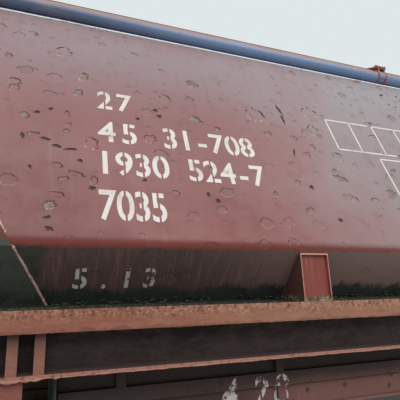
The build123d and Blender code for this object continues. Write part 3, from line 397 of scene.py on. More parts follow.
wheel_paint = rust_finish("wheel_rust", (92, 68, 56), 0.6, 0.5, 0.3)
tread_steel = Finish("worn_tread", (150, 146, 140), 0.34, 1.0)
tread_marks = tread_steel.noise(30, 4, 0.6, stretch=(1, 6, 1))
tread_steel.bump(tread_marks, 0.0006, 0.5)
tread_steel.lay(tread_marks.rise(0.4, 0.75), (104, 92, 82))
tread_steel = tread_steel.done()
for x, end, number in AXLES:
    outline = [(-y, radius) for y, radius in reversed(HALF_WHEELSET)] + list(HALF_WHEELSET)
    turned = lathe(outline, (x, 0, AXLE_HEIGHT), ACROSS, 72)
    wheelset = settle(turned, f"turned_wheelset_{number}", wheel_paint, 32, f"wheels_{number}",
                      f"wheelset_{number}")
    wheelset.data.materials.append(tread_steel)
    for face in wheelset.data.polygons:
        out = math.hypot(face.center.x - x, face.center.z - AXLE_HEIGHT)
        if out > TREAD_RADIUS and TREAD_FROM < abs(face.center.y) < TREAD_TO:
            face.material_index = 1


# Axle boxes: cast housings on the journals, each with a wing at either side for its springs.
# The round cover is bolted on with six bolts and has a raised filler plug in its middle.
BOX_FACE = 1.117
BOX_BOLT_RING = 0.088
PLUG = ((-0.004, 0.034), (0.008, 0.034), (0.012, 0.030), (0.013, 0.016), (0.022, 0.015), (0.024, 0.012))


def copies(model, placings):
    """Copies of a model, each with its own mesh, joined into one piece."""
    pieces = []
    for placing in placings:
        mesh = model.data.copy()
        mesh.transform(placing)
        pieces.append(shown(model.name, mesh))
    bpy.data.objects.remove(model)
    return join(pieces)


def bolts(radius, height, placings):
    """Six-sided heads on thin washers, their top edges taken off."""
    head = made(bpy.ops.mesh.primitive_cylinder_add, vertices=6, radius=radius, depth=height,
                location=(0, 0, height / 2))
    modify(head, "BEVEL", width=height * 0.22, segments=1, limit_method="ANGLE")
    rim = height * 0.22
    washer = lathe(((0, radius * 1.35), (rim, radius * 1.35), (height * 0.24, radius * 1.2)), sides=12)
    return copies(join([head, washer]), placings)


bogie_paint = rust_finish("bogie_paint", (86, 66, 55), 0.4, 0.6, 0.35)
bolt_paint = rust_finish("bolt_rust", (78, 58, 48), 0.8, 0.5)
for x, end, number in AXLES:
    placings = []
    for side in SIGNS:
        for degrees in range(30, 390, 60):
            angle = math.radians(degrees)
            spot = (x + BOX_BOLT_RING * math.cos(angle), side * BOX_FACE,
                    AXLE_HEIGHT + BOX_BOLT_RING * math.sin(angle))
            placings.append(placed(spot, (0, side, 0), angle))
    plugs = [lathe(PLUG, (x, side * BOX_FACE, AXLE_HEIGHT), (0, side, 0), 20) for side in SIGNS]
    settle([bolts(0.011, 0.010, placings), *plugs], f"axle_box_bolts_{number}", bolt_paint, 35,
           f"bogie_{end}")
dress(bogie_paint, "axle_boxes_front", "axle_boxes_rear")


# Springs: pairs of coil springs, a stout outer one with a thinner one inside it, wound the other way,
# standing between the axle boxes' wings and the hoods of the bogie frame on pressed seats.
SPRING_REACH, SPRING_OUT = 0.290, 1.0
SPRING_FOOT, SPRING_HEAD = 0.3853, 0.6697
SPRING_SEAT = 0.012
COIL_STEPS = 26


def coil(radius, wire, height, turns, hand):
    spring = made(bpy.ops.mesh.primitive_circle_add, vertices=10, radius=wire, location=(radius, 0, wire),
                  rotation=(math.pi / 2, 0, 0))
    modify(spring, "SCREW", angle=hand * 2 * math.pi, screw_offset=(height - 2 * wire) / turns,
           iterations=turns, steps=COIL_STEPS, render_steps=COIL_STEPS)
    pick(spring, editing=True)
    bpy.ops.mesh.remove_doubles(threshold=0.0001)
    bpy.ops.mesh.fill_holes(sides=0)
    return outward(spring)


steel_paint = rust_finish("dark_steel", (74, 62, 55), 0.3, 0.6, 0.2)
inside = SPRING_HEAD - SPRING_FOOT - 2 * SPRING_SEAT + 0.004
seat = ((0, 0.082), (SPRING_SEAT * 0.7, 0.082), (SPRING_SEAT, 0.078), (SPRING_SEAT + 0.001, 0.052),
        (SPRING_SEAT + 0.014, 0.048))
for sign, end in ENDS:
    pair = [coil(0.0685, 0.0125, inside, 5, 1), coil(0.0400, 0.0085, inside, 7, -1)]
    for piece in pair:
        piece.location.z = SPRING_SEAT - 0.002
        fix(piece)
    seats = [lathe(seat, sides=32), lathe(seat, (0, 0, SPRING_HEAD - SPRING_FOOT), (0, 0, -1), 32)]
    places = [placed((x + reach, side * SPRING_OUT, SPRING_FOOT), UP, side * reach * 3)
              for x, at, _ in AXLES if at == end
              for side in SIGNS for reach in (-SPRING_REACH, SPRING_REACH)]
    settle(copies(join(pair + seats), places), f"wound_springs_{end}", steel_paint, 50, f"bogie_{end}",
           f"springs_{end}")


# Bogie frames: welded box beams with spring hoods and axle guides, joined by a cross transom.
# Liner plates are bolted to the guides, and a row of weld beads closes each beam's lower edge.
PIVOT_X, BEAM_OUT = 3.75, 1.055
GUIDE_BOLT_HEIGHTS = (0.43, 0.50, 0.57, 0.64)
weld_cloud = bpy.data.textures.new("weld_cloud", "CLOUDS")
weld_cloud.noise_scale = 0.03


def weld_bead(begin, finish, radius=0.006, ripple=0.004, pace=0.02):
    """Run of weld: a rod cut into short rings, roughened by a cloudy displacement."""
    begin, finish = Vector(begin), Vector(finish)
    length = (finish - begin).length
    bead = made(bpy.ops.mesh.primitive_cylinder_add, vertices=8, radius=radius, depth=length)
    pick(bead, editing=True)
    bpy.ops.mesh.select_mode(type="EDGE")
    bpy.ops.mesh.select_all(action="DESELECT")
    bpy.ops.object.mode_set(mode="OBJECT")
    for edge in bead.data.edges:
        low, high = (bead.data.vertices[index].co for index in edge.vertices)
        edge.select = abs(low.z - high.z) > length / 2
    bpy.ops.object.mode_set(mode="EDIT")
    bpy.ops.mesh.subdivide(number_cuts=max(2, int(length / pace)))
    bpy.ops.mesh.select_mode(type="VERT")
    bpy.ops.object.mode_set(mode="OBJECT")
    bead.matrix_world = placed((begin + finish) / 2, (finish - begin).normalized())
    fix(bead)
    return modify(bead, "DISPLACE", texture=weld_cloud, texture_coords="LOCAL", mid_level=0.6,
                  strength=ripple)


for sign, end in ENDS:
    pivot = sign * PIVOT_X
    placings, beads = [], []
    for side in SIGNS:
        out = side * BEAM_OUT
        spots = [(axle + edge, height) for axle in (-0.9, 0.9) for edge in (-0.185, 0.185)
                 for height in GUIDE_BOLT_HEIGHTS] + [(-0.36 + step * 0.09, 0.72) for step in range(9)]
        placings += [placed((pivot + x, out, height), (0, side, 0)) for x, height in spots]
        beads.append(weld_bead((pivot - 1.32, out, 0.757), (pivot + 1.32, out, 0.757), 0.005, 0.003, 0.04))
    settle([bolts(0.010, 0.009, placings), *beads], f"bogie_bolts_{end}", bolt_paint, 35, f"bogie_{end}")
    dress(bogie_paint, f"bogie_frame_{end}", f"brake_gear_{end}")


# Underframe: centre sill, bolsters, saddle frames, dividers, steps and flap hinge beams, all in the
# frame's dull red under a coat of dust.
frame_paint = rust_finish("frame_paint", (124, 66, 55), 0.6, 0.45, 0.15)
dress(frame_paint, "centre_sill", "body_bolsters", "saddle_frames", "outlet_dividers", "corner_steps",
      "flap_hinge_beam_left", "flap_hinge_beam_right")


# Sole bars: rolled steel with a lip, the primer gone rough and orange-pink with corrosion, in thick
# scales that come off in flakes; painted dark inside the recess as shade, and mossy along the top edge.
SOLE_OUT, SOLE_LIP_FOOT, RAIL_FOOT = 1.470, 1.182, 0.991
CRUST_CELL, CRUST_THICK = 0.014, 0.0045


def sole_bar_finish():
    paint = Finish("sole_bar_rust", (142, 86, 70), 0.82)
    out = abs(paint.y)
    broad = paint.noise(1.3, 4, 0.6, stretch=(0.6, 1, 1))
    scales = paint.noise(13, 7, 0.72, stretch=(0.6, 1, 1.5), warp=0.4)
    crackle = paint.noise(54, 7, 0.78, warp=0.6)
    pits = paint.noise(48, 6, 0.75, shift=(3, 0, 5))
    paint.lay(broad.rise(0.36, 0.64), (155, 108, 86))
    paint.lay(scales.rise(0.50, 0.64, 0.45), (168, 122, 102))
    paint.lay(scales.rise(0.46, 0.34, 0.55), (126, 70, 56))
    height = paint.z + (paint.noise(9, 6, 0.7, shift=(2, 0, 0)) - 0.5) * 0.10
    upper = height.rise(1.212, 1.262)
    paint.lay(crackle.rise(0.50, 0.58) * upper * 0.7, (182, 146, 118))
    paint.lay(crackle.rise(0.46, 0.41) * upper * 0.85, (74, 50, 38))
    paint.lay(pits.rise(0.63, 0.70, 0.85), (88, 56, 45))
    paint.lay(height.rise(1.196, 1.184) * 0.5, (104, 62, 50))
    # the recess, painted dark as shade, and in it the two posts beside each pivot, lighter at the foot and
    # painted darker towards the top as shade under the beam
    recess = out.rise(1.450, 1.440) * paint.z.rise(0.992, 1.010)
    beside = abs(abs(abs(paint.x) - PIVOT_X) - 0.055)
    posts = beside.rise(0.0235, 0.0215) * out.rise(1.368, 1.374)
    # painted shade: near black in the recess; on the posts a painted gradient from a lit foot to a shaded top
    dark = paint.mix((48, 38, 37), scales.rise(0.42, 0.60), (34, 29, 29))
    post_light_and_shade = paint.mix((148, 102, 86), paint.z.rise(1.06, 1.19), (96, 70, 60))
    paint.lay(recess * 0.96, paint.mix(dark, posts * 0.9, post_light_and_shade))
    rail = paint.z.rise(1.013, 1.009) * paint.z.rise(0.985, 0.989) * out.rise(1.448, 1.453)
    paint.lay(rail * pits.rise(0.62, 0.50) * 0.75, (176, 126, 112))
    paint.lay(paint.z.rise(0.989, 0.985) * 0.75, (142, 84, 76))
    mud = paint.mix((18, 22, 17), crackle.rise(0.50, 0.62), (34, 31, 24))
    paint.lay(paint.z.rise(1.2792, 1.2798) * out.rise(1.4685, 1.4660), mud)
    for height, depth in ((scales, 0.006), (crackle, 0.004), (pits, 0.002)):
        paint.bump(height, depth)
    return paint.done(scales.rise(0.35, 0.65, 0.92, 0.72))


def crust(x0, x1, width, seed, lumps):
    """Strip of thick rust scale with a ragged outline, lying along an edge."""
    length = (Vector((x1, 0, 0)) - Vector((x0, 0, 0))).length
    strip = made(bpy.ops.mesh.primitive_grid_add, x_subdivisions=max(8, int(length / CRUST_CELL)),
                 y_subdivisions=4, size=1)
    strip.data.transform(Matrix.Diagonal((length, width, 1, 1)))
    chance = random.Random(seed)
    drift = 0.0
    share = {}
    for vertex in strip.data.vertices:
        column = round(vertex.co.x, 4)
        if column not in share:
            drift = 0.72 * drift + chance.uniform(-0.5, 0.5)
            share[column] = max(0.12, min(1.0, 0.35 + drift * 0.35 * lumps))
        vertex.co.y = -width / 2 + (vertex.co.y + width / 2) * share[column]
        vertex.co.z = CRUST_THICK * math.sin(math.pi * (vertex.co.y / width + 0.5)) * chance.uniform(0.5, 1.0)
    return modify(strip, "SOLIDIFY", thickness=CRUST_THICK * 0.6)


sole_paint = sole_bar_finish()
for side, side_name in SIDES:
    dress(sole_paint, f"sole_bar_{side_name}")
    strips = []
    # columns: first x, last x, height of the fixed edge, distance from the middle, width, lumpiness
    for index, (x0, x1, height, out, width, lumps) in enumerate((
            (-5.50, 5.50, SOLE_LIP_FOOT + 0.004, SOLE_OUT - 0.0062, 0.013, 0.9),
            (-5.50, -3.60, RAIL_FOOT + 0.006, 1.4575, 0.024, 1.6),
            (-3.60, 5.50, RAIL_FOOT + 0.004, 1.4565, 0.008, 0.6))):
        strip = crust(x0, x1, width, 11 * index + side, lumps)
        aim = Matrix(((-side, 0, 0), (0, 0, side), (0, -1, 0))).to_4x4()
        strip.data.transform(Matrix.Translation(((x0 + x1) / 2, side * out, height - width / 2)) @ aim)
        strips.append(outward(strip))
    settle(strips, f"sole_bar_scale_{side_name}", sole_paint, 40)


# Body sides: smooth pressed plates in red oxide gloss, welded at their edges, the paint blistered
# and peeled all over, paler towards the top and the middle as a painted reflection of the sky, and
# under the bend painted dark as shade, with dirt runs and moss.
WALL_LEAN = math.radians(28.1)
SLOPE_LEAN = math.radians(-36)
SLOPE_RISE = math.tan(math.radians(54))
BEND_OUT, BEND_HEIGHT = 1.450, 1.585
STRUT_PITCH = 1.5


def dusty(paint):
    """Colour of the hopper's inside."""
    streaks = paint.noise(5, 5, 0.65, stretch=(3, 3, 0.4), shift=(6, 6, 0))
    grit = paint.noise(38, 5, 0.7, shift=(2, 2, 2))
    colour = paint.mix((122, 106, 92), streaks.rise(0.46, 0.62, 0.8), (112, 74, 56))
    return paint.mix(colour, grit.rise(0.52, 0.66, 0.7), (84, 70, 60))


def blistered(paint):
    """Blisters: a flat pattern laid on the leaning wall, each cell with a lifted ring of its own size."""
    def moved(kind, first, second):
        return shader(paint.tree, "VectorMath", {0: first, 1: second}, operation=kind).outputs[0]

    across = paint.x + paint.y.rise(-0.1, 0.1, 23.4)
    flat = shader(paint.tree, "CombineXYZ", {0: across, 1: paint.z * 1.133}).outputs[0]
    patch = paint.noise(1.5, 3, 0.5, shift=(8, 1, 2)).rise(0.38, 0.54)
    lows = []
    # columns: cells to the metre, ring's radius from and to, share of cells, wobble, darkness
    for cells, small, large, share, wobble, depth in ((5.2, 0.014, 0.048, 0.62, 0.055, 0.75),
                                                       (10.5, 0.006, 0.018, 0.42, 0.028, 0.85)):
        cell = shader(paint.tree, "TexVoronoi", {"Scale": cells, "Vector": flat}, voronoi_dimensions="2D")
        sized, chosen, bare = paint.parts(cell.outputs["Color"], "SeparateColor")
        ragged = shader(paint.tree, "TexNoise",
                        {"Scale": 1.1 / large, "Detail": 4, "Roughness": 0.7, "Vector": paint.place})
        shake = moved("SUBTRACT", ragged.outputs["Color"], (0.5, 0.5, 0.5))
        shaken = shader(paint.tree, "VectorMath", {0: shake, "Scale": wobble}, operation="SCALE").outputs[0]
        x, y, _ = paint.parts(moved("ADD", moved("SUBTRACT", flat, cell.outputs["Position"]), shaken))
        radius = sized.rise(0, 1, large, small)
        away = (x * x + y * y * 1.5).root() / radius
        lifted = chosen.rise(share + 0.01, share) * patch
        rim = away.rise(0.74, 0.92) * away.rise(1.10, 0.98) * lifted
        within = away.rise(1.0, 0.86) * lifted
        paint.lay(within * bare.rise(0.52, 0.54) * 0.45, (104, 78, 72))
        # painted shadow under each ring's upper edge, and painted highlight on its lower edge
        paint.lay(rim * (y / radius).rise(-0.1, 0.5) * depth, (58, 38, 36))
        paint.lay(rim * (y / radius).rise(0.1, -0.5) * 0.45, (176, 142, 136))
        lows.append(within)
    return lows


def wall_finish():
    paint = Finish("red_oxide_gloss", (110, 46, 41), 0.36, coat=0.12)
    paint.shader.inputs["Coat Roughness"].default_value = 0.22
    broad = paint.noise(0.8, 5, 0.6, shift=(3, 0, 1))
    fine = paint.noise(9, 6, 0.65)
    height = paint.z + broad * 0.5
    along = abs(paint.x) + broad * 1.2
    wash = paint.noise(3.0, 5, 0.6, stretch=(7, 1, 0.35))
    # painted reflection of the sky: paler and greyer towards the top, greyer and bluer towards the middle;
    # the low ends are painted darker and redder, as less reflected light
    low_end = along.rise(3.95, 4.40) * height.rise(2.9, 1.9)
    for mask, tone in ((height.rise(1.80, 2.70), (126, 80, 78)), (height.rise(2.5, 3.25), (136, 122, 127)),
                       (along.rise(3.4, 1.9, 0.38), (142, 118, 118)),
                       (along.rise(3.3, 2.2, 0.34), (146, 160, 165)),
                       (low_end * 0.75, (86, 20, 15)), (broad.rise(0.40, 0.62, 0.30), (136, 80, 75)),
                       (fine.rise(0.50, 0.72, 0.28), (102, 54, 50)),
                       (wash.rise(0.58, 0.80, 0.22), (156, 118, 114)),
                       (wash.rise(0.42, 0.25, 0.25), (98, 50, 46))):
        paint.lay(mask, tone)
    lows = blistered(paint)
    paint.lay(paint.noise(44, 3, 0.5, shift=(1, 5, 2)).rise(0.735, 0.755, 0.8), (92, 66, 60))
    # painted shadow under the chord tube: the top of the wall in the tube's blue-grey
    paint.lay(paint.z.rise(3.138, 3.146), (64, 82, 116))
    # under the bend: a bright red edge, then the slope painted dark as shade, with dirt runs in it, lighter
    # towards the middle, green and black at the foot
    height = paint.z + (paint.noise(14, 5, 0.65) - 0.5) * 0.03
    paint.lay(height.rise(1.592, 1.578) * 0.85, (118, 44, 34))
    under = height.rise(1.567, 1.545)
    runs = paint.noise(5.5, 5, 0.6, stretch=(6, 1, 0.30), shift=(2, 0, 0))
    narrow = paint.noise(17, 4, 0.6, stretch=(6, 1, 0.22), shift=(7, 0, 0))
    spikes = paint.noise(26, 5, 0.7, stretch=(3, 1, 0.5), shift=(0, 4, 0))
    foot = paint.z + paint.noise(6, 6, 0.7) * 0.16 + spikes * 0.10
    corner = abs(paint.x) + paint.noise(7, 6, 0.7) * 0.30 + paint.z * 0.45
    green = paint.mix((36, 50, 40), fine.rise(0.46, 0.62), (26, 33, 30))
    # base tone: the painted shade of the slope, which faces down
    dark = (80, 61, 59)
    for mask, tone in ((runs.rise(0.50, 0.72, 0.85), (116, 82, 78)),
                       (narrow.rise(0.56, 0.70, 0.6), (128, 90, 84)),
                       (narrow.rise(0.44, 0.34, 0.6), (46, 38, 38)),
                       (abs(paint.x).rise(3.1, 1.7, 0.75), (150, 124, 116)),
                       (foot.rise(1.505, 1.465, 0.95), green), (corner.rise(4.50, 4.58, 0.85), green)):
        dark = paint.mix(dark, mask, tone)
    paint.lay(under, dark)
    # inside: bare of gloss, grey-brown with the dust of the loads and streaked with rust
    upper_face = abs(paint.y) + (paint.z - BEND_HEIGHT) * math.tan(WALL_LEAN)
    lower_face = abs(paint.y) + (BEND_HEIGHT - paint.z) * (1 / SLOPE_RISE)
    inward = upper_face.larger(lower_face).rise(BEND_OUT - 0.0035, BEND_OUT - 0.0055)
    inward = inward * abs(paint.z - BEND_HEIGHT).rise(0.034, 0.038)
    paint.lay(inward, dusty(paint))
    paint.bump(paint.noise(2.6, 2, 0.4), 0.014, 0.4)
    paint.bump(lows[0], -0.006)
    paint.bump(lows[1], -0.004)
    paint.bump(paint.noise(130, 3, 0.6), 0.0008, 0.5)
    gloss = fine.rise(0.3, 0.8, 0.50, 0.27) + paint.z.rise(2.1, 1.7, 0.16)
    return paint.done(gloss.larger(under.larger(inward) * 0.8))


wall_paint = wall_finish()
dress(wall_paint, "body_side_left", "body_side_right")


def facing(x, out, height, tilt, side):
    """Placing on a side's surface: across it as a viewer sees it, up it, and out from it."""
    across = Vector((-side, 0, 0))
    rise = Vector((0, -side * math.sin(tilt), math.cos(tilt)))
    normal = Vector((0, side * math.cos(tilt), math.sin(tilt)))
    matrix = Matrix((across, rise, normal)).transposed().to_4x4()
    matrix.translation = (x, side * out, height)
    return matrix


def on_wall(x, up, side, lift=0.0):
    out = BEND_OUT - up * math.sin(WALL_LEAN) + lift * math.cos(WALL_LEAN)
    height = BEND_HEIGHT + up * math.cos(WALL_LEAN) + lift * math.sin(WALL_LEAN)
    return facing(x, out, height, WALL_LEAN, side)


def on_slope(x, height, side, lift=0.0):
    out = BEND_OUT - (BEND_HEIGHT - height) / SLOPE_RISE + lift * math.cos(SLOPE_LEAN)
    return facing(x, out, height + lift * math.sin(SLOPE_LEAN), SLOPE_LEAN, side)


# Paint flakes: where the paint has lifted off the wall it stands up in curled, broken rings, with a
# painted shadow under the upper edge, a painted highlight on the rim below and bare grey primer in some
# of the middles.
# columns: place along the wagon, up the wall, half width and half height in millimetres, 1 where open
LIFTED = (
    (-3.65, 1.41, 58, 61, 0), (-3.53, 1.19, 33, 49, 1), (-3.56, 1.03, 32, 37, 1), (-3.91, 1.06, 36, 26, 1),
    (-3.91, 1.00, 31, 38, 0), (-3.96, 1.28, 24, 34, 1), (-3.84, 1.56, 30, 17, 1), (-3.84, 0.79, 30, 20, 1),
    (-3.78, 0.82, 18, 12, 1), (-3.61, 0.75, 19, 16, 1), (-3.62, 0.83, 14, 33, 0), (-3.71, 0.86, 13, 12, 1),
    (-3.01, 1.10, 39, 46, 0), (-2.83, 1.12, 33, 42, 0), (-2.79, 1.30, 54, 40, 1), (-3.09, 0.97, 17, 14, 1),
    (-3.07, 0.92, 20, 14, 1), (-2.83, 0.94, 43, 29, 1), (-3.21, 0.87, 13, 13, 1), (-2.35, 1.07, 84, 82, 0),
    (-1.85, 1.19, 74, 73, 0), (-1.26, 1.62, 37, 23, 1), (-3.69, 0.19, 33, 29, 1), (-3.66, 0.26, 41, 15, 0),
    (-3.49, 0.62, 40, 53, 0), (-3.15, 0.71, 43, 38, 0), (-3.62, 0.70, 19, 16, 1), (-3.84, 0.63, 12, 22, 1),
    (-3.66, 0.45, 29, 14, 0), (-3.55, 0.49, 15, 11, 1), (-3.79, 0.42, 9, 13, 1), (-3.57, 0.40, 44, 13, 0),
    (-3.63, 0.36, 29, 13, 1), (-3.48, 0.36, 20, 33, 0), (-3.49, 0.31, 20, 13, 1), (-3.04, 0.32, 23, 14, 1),
    (-3.21, 0.39, 14, 11, 1), (-3.70, 0.12, 22, 8, 1), (-3.69, 0.06, 21, 11, 1), (-2.30, 0.89, 37, 25, 1),
    (-2.68, 0.87, 22, 24, 1), (-2.09, 0.88, 35, 26, 1), (-1.89, 0.99, 56, 61, 0), (-1.96, 0.81, 27, 31, 0),
    (-2.04, 0.72, 30, 44, 0), (-1.77, 0.74, 46, 51, 0), (-1.86, 0.60, 22, 24, 1), (-1.84, 0.54, 61, 27, 1),
    (-2.20, 0.47, 23, 21, 1), (-2.11, 0.44, 16, 17, 1), (-2.40, 0.36, 18, 24, 1), (-2.85, 0.32, 12, 18, 1),
    (-2.80, 0.28, 16, 14, 1), (-2.19, 0.25, 33, 27, 0), (-1.80, 0.36, 34, 34, 0), (-1.99, 0.19, 19, 15, 1),
    (-1.44, 0.45, 48, 28, 1), (-1.32, 1.01, 44, 30, 1), (-2.12, 1.16, 12, 60, 1), (-2.12, 1.06, 10, 55, 1),
    (-2.14, 0.73, 6, 50, 1), (-3.79, 0.655, 34, 10, 1), (-3.73, 0.625, 30, 9, 1), (-3.67, 0.58, 26, 10, 1),
    (-3.60, 0.565, 36, 8, 1))
LIFTED_MORE = 150
FLAKE_SHAPES, FLAKE_SIDES = 7, 30


def flat_finish(name, tone, second, roughness=0.7, scale=40):
    paint = Finish(name, tone, roughness)
    grain = paint.noise(scale, 5, 0.7)
    paint.bump(grain, 0.0015)
    paint.lay(grain.rise(0.42, 0.62), second)
    return paint.done()


# finishes: wall paint, painted shadow, painted highlight, bare primer
flake_paints = (wall_paint, flat_finish("painted_shadow_under_edge", (36, 26, 25), (58, 40, 37)),
                flat_finish("painted_highlight_on_edge", (190, 160, 152), (160, 120, 112)),
                flat_finish("bare_primer", (134, 112, 106), (98, 80, 72), 0.6, 46))


def flake(seed):
    """One lifted ring, a disc inset twice, up to a sharp ridge and down again inside it."""
    chance = random.Random(seed)
    ring = made(bpy.ops.mesh.primitive_circle_add, vertices=FLAKE_SIDES, radius=1.0, fill_type="NGON")
    pick(ring, editing=True)
    bpy.ops.mesh.inset(thickness=0.13, depth=0.0030)
    bpy.ops.mesh.inset(thickness=0.11, depth=-0.0024)
    bpy.ops.object.mode_set(mode="OBJECT")
    waves = [(chance.uniform(0.05, 0.17), n, chance.uniform(0, 6.28)) for n in (2, 3, 5, 7)]
    rise = chance.uniform(0.2, 1.2)
    jitter = [chance.uniform(0.90, 1.10) for _ in range(FLAKE_SIDES)]
    for vertex in ring.data.vertices:
        angle = math.atan2(vertex.co.y, vertex.co.x)
        swell = 1 + sum(size * math.sin(n * angle + phase) for size, n, phase in waves)
        swell *= jitter[round(angle * FLAKE_SIDES / math.tau) % FLAKE_SIDES]
        vertex.co.x *= swell
        vertex.co.y *= swell
        if vertex.co.z > 0.002:
            vertex.co.z *= max(0.15, 0.8 + 0.7 * math.sin(angle + rise) + chance.uniform(-0.25, 0.25))
    for paint in flake_paints:
        ring.data.materials.append(paint)
    for face in ring.data.polygons:
        # the ring's inner wall: painted shadow on the upper half, painted highlight on the lower half
        if 0.74 < math.hypot(face.center.x, face.center.y) < 0.88:
            face.material_index = 1 if face.center.y > 0.1 else 2 if face.center.y < -0.45 else 0
    return ring


for side, side_name in SIDES:
    chance = random.Random(31 + side)
    marks = [(x if side < 0 else -x, up, wide, tall, bare) for x, up, wide, tall, bare in LIFTED]
    while len(marks) < len(LIFTED) + LIFTED_MORE:
        up = 1.7 * chance.random() ** 1.3 + 0.05
        x = chance.uniform(-3.75, 3.75)
        if side < 0 and -4.0 < x < -1.3:
            continue
        size = chance.uniform(9, 44)
        marks.append((x, up, size, size * chance.uniform(0.4, 1.1), int(chance.random() < 0.55)))
    shapes = [flake(index * 5 + 3) for index in range(FLAKE_SHAPES)]
    flakes = []
    for index, (x, up, wide, tall, bare) in enumerate(marks):
        mesh = shapes[index % FLAKE_SHAPES].data.copy()
        if bare:
            middle = max(mesh.polygons, key=lambda face: len(face.vertices))
            # small open middles take the painted shadow, the others bare primer or wall paint
            middle.material_index = 1 if wide * tall < 300 or wide < 14 else 3 if index % 3 else 0
        size = Matrix.Diagonal((wide / 1000, tall / 1000, 1, 1))
        spin = Matrix.Rotation(chance.uniform(-0.35, 0.35), 4, "Z")
        mesh.transform(on_wall(x, up, side, 0.0003) @ spin @ size)
        flakes.append(shown("flake", mesh))
    for shape in shapes:
        bpy.data.objects.remove(shape)
    settle(flakes, f"paint_flakes_{side_name}")


# Struts: bent channels between bend and sole bar, the red paint still good on the face, run with
# dirt, pale along both edges and the closing lip from wear and painted highlight, painted dark on the
# cheeks as shade, and mossy at the foot.
def strut_finish():
    paint = Finish("strut_paint", (122, 54, 45), 0.6)
    off = abs(abs(abs(paint.x) - STRUT_PITCH) - STRUT_PITCH / 2)
    runs = paint.noise(9, 5, 0.6, stretch=(6, 1, 0.25))
    fine = paint.noise(50, 5, 0.7)
    foot = paint.z + paint.noise(22, 6, 0.75) * 0.10
    litter = paint.mix((56, 56, 42), fine.rise(0.46, 0.58), (150, 140, 116))
    for mask, tone in ((runs.rise(0.48, 0.70, 0.6), (146, 86, 72)),
                       (runs.rise(0.44, 0.28, 0.7), (96, 46, 40)),
                       (fine.rise(0.60, 0.72, 0.7), (100, 62, 50)),
                       # pale edges and closing lip: wear and painted highlight; the dark cheeks are painted
                       # shade
                       ((off + fine * 0.014).rise(0.092, 0.099) * 0.75, (190, 136, 120)),
                       (paint.z.rise(1.532, 1.538, 0.8), (204, 150, 134)),
                       (off.rise(0.0932, 0.0937, 0.9), (66, 46, 43)),
                       (foot.rise(1.362, 1.346, 0.9), litter)):
        paint.lay(mask, tone)
    paint.bump(runs, 0.003, 0.6)
    paint.bump(fine, 0.0016)
    return paint.done()


strut_paint = strut_finish()
for side, side_name in SIDES:
    dress(strut_paint, f"side_struts_{side_name}")
    beads = []
    for x in (-2.25, -0.75, 0.75, 2.25):
        for edge in (-0.097, 0.097):
            low, high = (on_slope(x + edge, height, side, 0.001).translation for height in (1.286, 1.540))
            beads.append(weld_bead(low, high, 0.006, 0.006, 0.015))
        ends = [(x + edge, side * 1.4645, 1.2825) for edge in (-0.092, 0.092)]
        beads.append(weld_bead(*ends, 0.004, 0.003, 0.015))
    settle(beads, f"strut_welds_{side_name}", strut_paint, 50)


# Hips: the corners where side plates and end slopes are welded together, the weld thick and ragged,
# its paint flaked off to pale primer and rust; the gussets beside them are green with algae.
END_OUT, END_LEAN = 3.850, math.tan(math.radians(30))
# columns: height of a bead's foot and head, radius, distance out at foot and head where the bend sets it
HIP_BEADS = ((1.21, 1.545, 0.009, None, 1.421), (1.545, 1.625, 0.011, 1.423, 1.430),
             (1.625, 3.12, 0.008, 1.429, None))


def hip_point(height, end, side, out):
    if out is None and height >= BEND_HEIGHT:
        out = BEND_OUT - (height - BEND_HEIGHT) * math.tan(WALL_LEAN)
    elif out is None:
        out = BEND_OUT - (BEND_HEIGHT - height) / SLOPE_RISE
    x = END_OUT + (height - BEND_HEIGHT) * END_LEAN
    return Vector((end * (x + 0.002), side * out, height))


def hip_finish():
    paint = Finish("hip_weld", (188, 160, 146), 0.8)
    grain = paint.noise(34, 6, 0.75)
    paint.lay(paint.noise(7, 5, 0.65, shift=(3, 3, 0)).rise(0.48, 0.62), (138, 82, 68))
    paint.lay(grain.rise(0.52, 0.62, 0.9), (78, 56, 44))
    paint.lay(grain.rise(0.44, 0.36, 0.7), (196, 184, 166))
    paint.bump(grain, 0.004, 0.9)
    return paint.done()


def end_post_finish():
    paint = Finish("end_post_paint", (124, 66, 55), 0.8)
    broad = paint.noise(6, 6, 0.7)
    fine = paint.noise(42, 5, 0.7)
    paint.lay(broad.rise(0.45, 0.65, 0.7), (96, 56, 46))
    paint.lay(fine.rise(0.58, 0.72, 0.6), (80, 54, 44))
    algae = paint.mix((44, 54, 48), broad.rise(0.42, 0.56), (66, 72, 62))
    algae = paint.mix(algae, fine.rise(0.56, 0.66, 0.8), (96, 74, 64))
    paint.lay(abs(paint.y).rise(1.10, 1.14) * paint.z.rise(1.60, 1.58), algae)
    paint.bump(broad, 0.005, 0.7)
    paint.bump(fine, 0.002)
    return paint.done()


def plate(low, high, edge=0.002):
    """Plate or bar between two corners, its edges slightly rounded."""
    low, high = Vector(low), Vector(high)
    piece = made(bpy.ops.mesh.primitive_cube_add, size=1)
    piece.data.transform(Matrix.Translation((low + high) / 2) @ Matrix.Diagonal((*(high - low), 1)))
    return modify(piece, "BEVEL", width=edge, segments=2)


